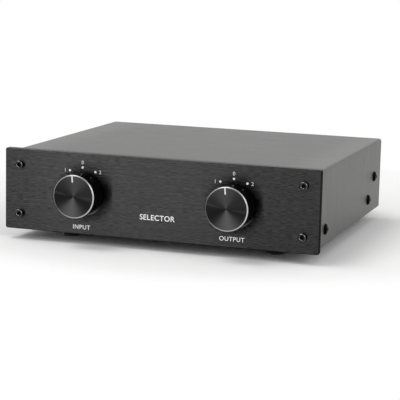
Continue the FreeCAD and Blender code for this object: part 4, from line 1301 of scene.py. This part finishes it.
@dataclass(frozen=True)
class PanelPrint:
    """Dots, digits and plain words on the front panel."""

    dot_radius: float = 18.8 * MM        # of the circle that the dots lie on
    dot_diameter: float = 1.6 * MM
    slip: tuple[float, float] = (-0.65 * MM, -1.2 * MM)  # of that circle from the knob's axis, X and Z
    step: float = 30.0                   # degrees between positions
    digit_height: float = 2.4 * MM
    digit_weight: float = -0.008
    digit_offset: float = 3.5 * MM       # of the digits from their dots
    label_height: float = 3.0 * MM
    label_spacing: float = 1.1
    label_weight: float = 0.006
    label_shift: float = -1.0 * MM       # of a label's middle from the knob's axis
    left_label_z: float = 5.0 * MM       # above the panel's lower edge
    right_label_z: float = 5.8 * MM
    title_height: float = 3.7 * MM
    title_spacing: float = 1.05
    title_weight: float = 0.008
    title_z: float = 15.7 * MM

    def build(self) -> None:
        """Make the three prints of the panel."""
        low, _ = corners_of("front_panel")
        for side, word, label_z in ((Side.LEFT, "INPUT", self.left_label_z),
                                    (Side.RIGHT, "OUTPUT", self.right_label_z)):
            self.scale(Print(side.named("scale_print"), Facing.FRONT, low.y),
                       middle_of(side.named("knob")), word, low.z + label_z)
        title = Print("title_print", Facing.FRONT, low.y)
        mesh = bmesh.new()
        title.lettering(mesh, "SELECTOR", 0.0, low.z + self.title_z, self.title_height,
                        self.title_spacing, self.title_weight)
        title.finish(mesh)

    def scale(self, sheet: Print, axis: Vector, word: str, label_z: float) -> None:
        """The print round one knob.

        Args:
            sheet: the print that it makes.
            axis: a point on the knob's axis.
            word: what the label below says.
            label_z: the label's middle.
        """
        mesh = bmesh.new()
        for turn, digit in ((-1, "1"), (0, "0"), (1, "2")):
            angle = math.radians(turn * self.step)
            x = axis.x + self.slip[0] + self.dot_radius * math.sin(angle)
            z = axis.z + self.slip[1] + self.dot_radius * math.cos(angle)
            sheet.dot(mesh, x, z, self.dot_diameter)
            lift = self.digit_offset if turn == 0 else 0.0
            sheet.lettering(mesh, digit, x + turn * self.digit_offset, z + lift, self.digit_height,
                            weight=self.digit_weight)
        sheet.lettering(mesh, word, axis.x + self.label_shift, label_z, self.label_height,
                        self.label_spacing, self.label_weight)
        sheet.finish(mesh)


@dataclass(frozen=True)
class RearPrint:
    """Generic marks beside the binding posts."""

    height: float = 2.6 * MM
    title_height: float = 3.0 * MM
    title_spacing: float = 1.05
    title_weight: float = 0.006
    sign_size: float = 2.4 * MM
    sign_stroke: float = 0.5 * MM
    above: float = 10.0 * MM             # of the channel letters over the upper row
    title_above: float = 14.0 * MM

    def build(self) -> None:
        """Name each group, mark its channels and mark the polarity of its rows."""
        sheet = Print("rear_print", Facing.REAR, corners_of("rear_panel")[1].y)
        mesh = bmesh.new()
        arm = (self.sign_size - self.sign_stroke) / 2
        for group, title in (("amp_1", "INPUT 1"), ("amp_2", "INPUT 2"),
                             ("speaker_1", "OUTPUT 1"), ("speaker_2", "OUTPUT 2")):
            for channel, letter in (("left", "L"), ("right", "R")):
                post = middle_of(f"{group}_{channel}_plus_cap")
                sheet.lettering(mesh, letter, post.x, post.z + self.above, self.height)
            plus, minus = ((middle_of(f"{group}_left_{sign}_cap")
                            + middle_of(f"{group}_right_{sign}_cap")) / 2 for sign in ("plus", "minus"))
            sheet.lettering(mesh, title, plus.x, plus.z + self.title_above, self.title_height,
                            self.title_spacing, self.title_weight)
            for place in (plus, minus):
                sheet.stroke(mesh, place.x, place.z, self.sign_size, self.sign_stroke)
            for way in (-1, 1):
                sheet.stroke(mesh, plus.x, plus.z + way * (self.sign_stroke + arm) / 2,
                             self.sign_stroke, arm)
        sheet.finish(mesh)


# ------------------------------------------------------------------ floor, light and camera
@dataclass(frozen=True)
class Sun:
    """A broad even light from far away."""

    name: str
    azimuth: float               # degrees clockwise from the front, seen from above; the left is negative
    elevation: float             # degrees above the floor
    strength: float
    spread: float                # degrees across, as seen from the object

    def build(self) -> None:
        """Hang the light."""
        lamp = bpy.data.lights.new(self.name, "SUN")
        lamp.energy = self.strength
        lamp.angle = math.radians(self.spread)
        turn = math.radians(self.azimuth)
        lift = math.radians(self.elevation)
        toward = Vector((math.sin(turn) * math.cos(lift), -math.cos(turn) * math.cos(lift), math.sin(lift)))
        place_object(self.name, lamp).rotation_euler = toward.to_track_quat("Z", "Y").to_euler()


@dataclass(frozen=True)
class Studio:
    """Pale floor, white surroundings and soft light."""

    half_width: float = 8.0
    floor_colour: Colour = tint(0.97, 0.968, 0.965)
    ambient: float = 0.58
    clear_from: float = 0.240    # distance over which the floor fades to plain white
    clear_to: float = 0.285
    clear_setback: float = 0.09  # of the point that it is measured from, behind the middle of the object
    suns: tuple[Sun, ...] = (Sun("key", -75.0, 66.0, 0.86, 32.0), Sun("right", 60.0, 30.0, 0.70, 32.0),
                             Sun("front", -30.0, 18.0, 0.58, 32.0))

    def build(self) -> None:
        """Lay the floor, light the surroundings and hang the lamps."""
        self.lay_floor()
        self.light_world()
        for sun in self.suns:
            sun.build()

    def lay_floor(self) -> None:
        """A flat square under the object."""
        mesh = bmesh.new()
        half = self.half_width
        mesh.faces.new([mesh.verts.new(corner) for corner in
                        ((-half, -half, 0.0), (half, -half, 0.0), (half, half, 0.0), (-half, half, 0.0))])
        data = bpy.data.meshes.new("studio_floor")
        mesh.to_mesh(data)
        mesh.free()
        floor = place_object("studio_floor", data)
        data.materials.append(self.floor_material())

    def floor_material(self) -> bpy.types.Material:
        """Matt and pale, white to the eye where it is well clear of the object.

        Returns:
            The material.
        """
        made = bpy.data.materials.new("studio_floor")
        tree = ShaderTree(made)
        matt = tree.node("ShaderNodeBsdfDiffuse", None, {"Color": self.floor_colour}).outputs[0]
        white = tree.node("ShaderNodeEmission", None, {"Color": WHITE}).outputs[0]
        x, y, _ = tree.split(tree.place())
        distance = tree.distance(x, y - self.clear_setback)
        seen = Value(tree, tree.node("ShaderNodeLightPath").outputs["Is Camera Ray"])
        clear = tree.step(distance, self.clear_from, self.clear_to) * seen
        tree.show(tree.blend(clear, matt, white))
        return made

    def light_world(self) -> None:
        """White to the camera and in reflections, dimmer as a light."""
        world = bpy.data.worlds.new("studio")
        bpy.context.scene.world = world
        tree = ShaderTree(world)
        path = tree.node("ShaderNodeLightPath").outputs
        seen = (Value(tree, path["Is Camera Ray"]) + Value(tree, path["Is Glossy Ray"])
                + Value(tree, path["Is Transmission Ray"]))
        strength = self.ambient + seen.at_most(1.0) * (1.0 - self.ambient)
        background = tree.node("ShaderNodeBackground", None, {"Color": WHITE, "Strength": strength})
        tree.node("ShaderNodeOutputWorld", None, {"Surface": background.outputs[0]})


@dataclass(frozen=True)
class Viewpoint:
    """The camera, placed from the low front middle of the front panel."""

    offset: tuple[float, float, float] = (352.5 * MM, -954.6 * MM, 203.7 * MM)
    yaw: float = 18.66           # degrees, to the left of straight back
    pitch: float = 9.76          # degrees, downwards
    roll: float = 1.33           # degrees
    lens: float = 138.41         # in millimetres
    sensor_width: float = 36.0   # in millimetres
    clip: tuple[float, float] = (0.01, 100.0)

    def build(self) -> None:
        """Put the camera up and make it the scene's."""
        low, high = corners_of("front_panel")
        yaw, pitch, roll = (math.radians(angle) for angle in (self.yaw, self.pitch, self.roll))
        ahead = Vector((-math.sin(yaw) * math.cos(pitch), math.cos(yaw) * math.cos(pitch), -math.sin(pitch)))
        level = Vector((math.cos(yaw), math.sin(yaw), 0.0))
        upright = level.cross(ahead)
        right = math.cos(roll) * level + math.sin(roll) * upright
        up = math.cos(roll) * upright - math.sin(roll) * level
        camera = bpy.data.cameras.new("viewpoint")
        camera.lens = self.lens
        camera.sensor_width = self.sensor_width
        camera.clip_start, camera.clip_end = self.clip
        made = place_object("viewpoint", camera)
        place = Vector(((low.x + high.x) / 2, low.y, low.z)) + Vector(self.offset)
        made.matrix_world = Matrix.Translation(place) @ Matrix((right, up, -ahead)).transposed().to_4x4()
        bpy.context.scene.camera = made


def main() -> None:
    """Dress the frame piece by piece, then set the stage."""
    logging.basicConfig(level=logging.INFO, format="%(name)s: %(message)s")
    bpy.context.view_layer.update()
    bpy.context.scene.view_settings.view_transform = "Standard"
    Viewpoint().build()
    Case().build()
    Selector(Side.LEFT, pointer_skew=-4.3, wedge_turn=0.0).build()
    Selector(Side.RIGHT, pointer_skew=-5.0, wedge_turn=-15.0).build()
    BindingPosts().build()
    PanelPrint().build()
    RearPrint().build()
    Studio().build()


if __name__ == "__main__":
    main()
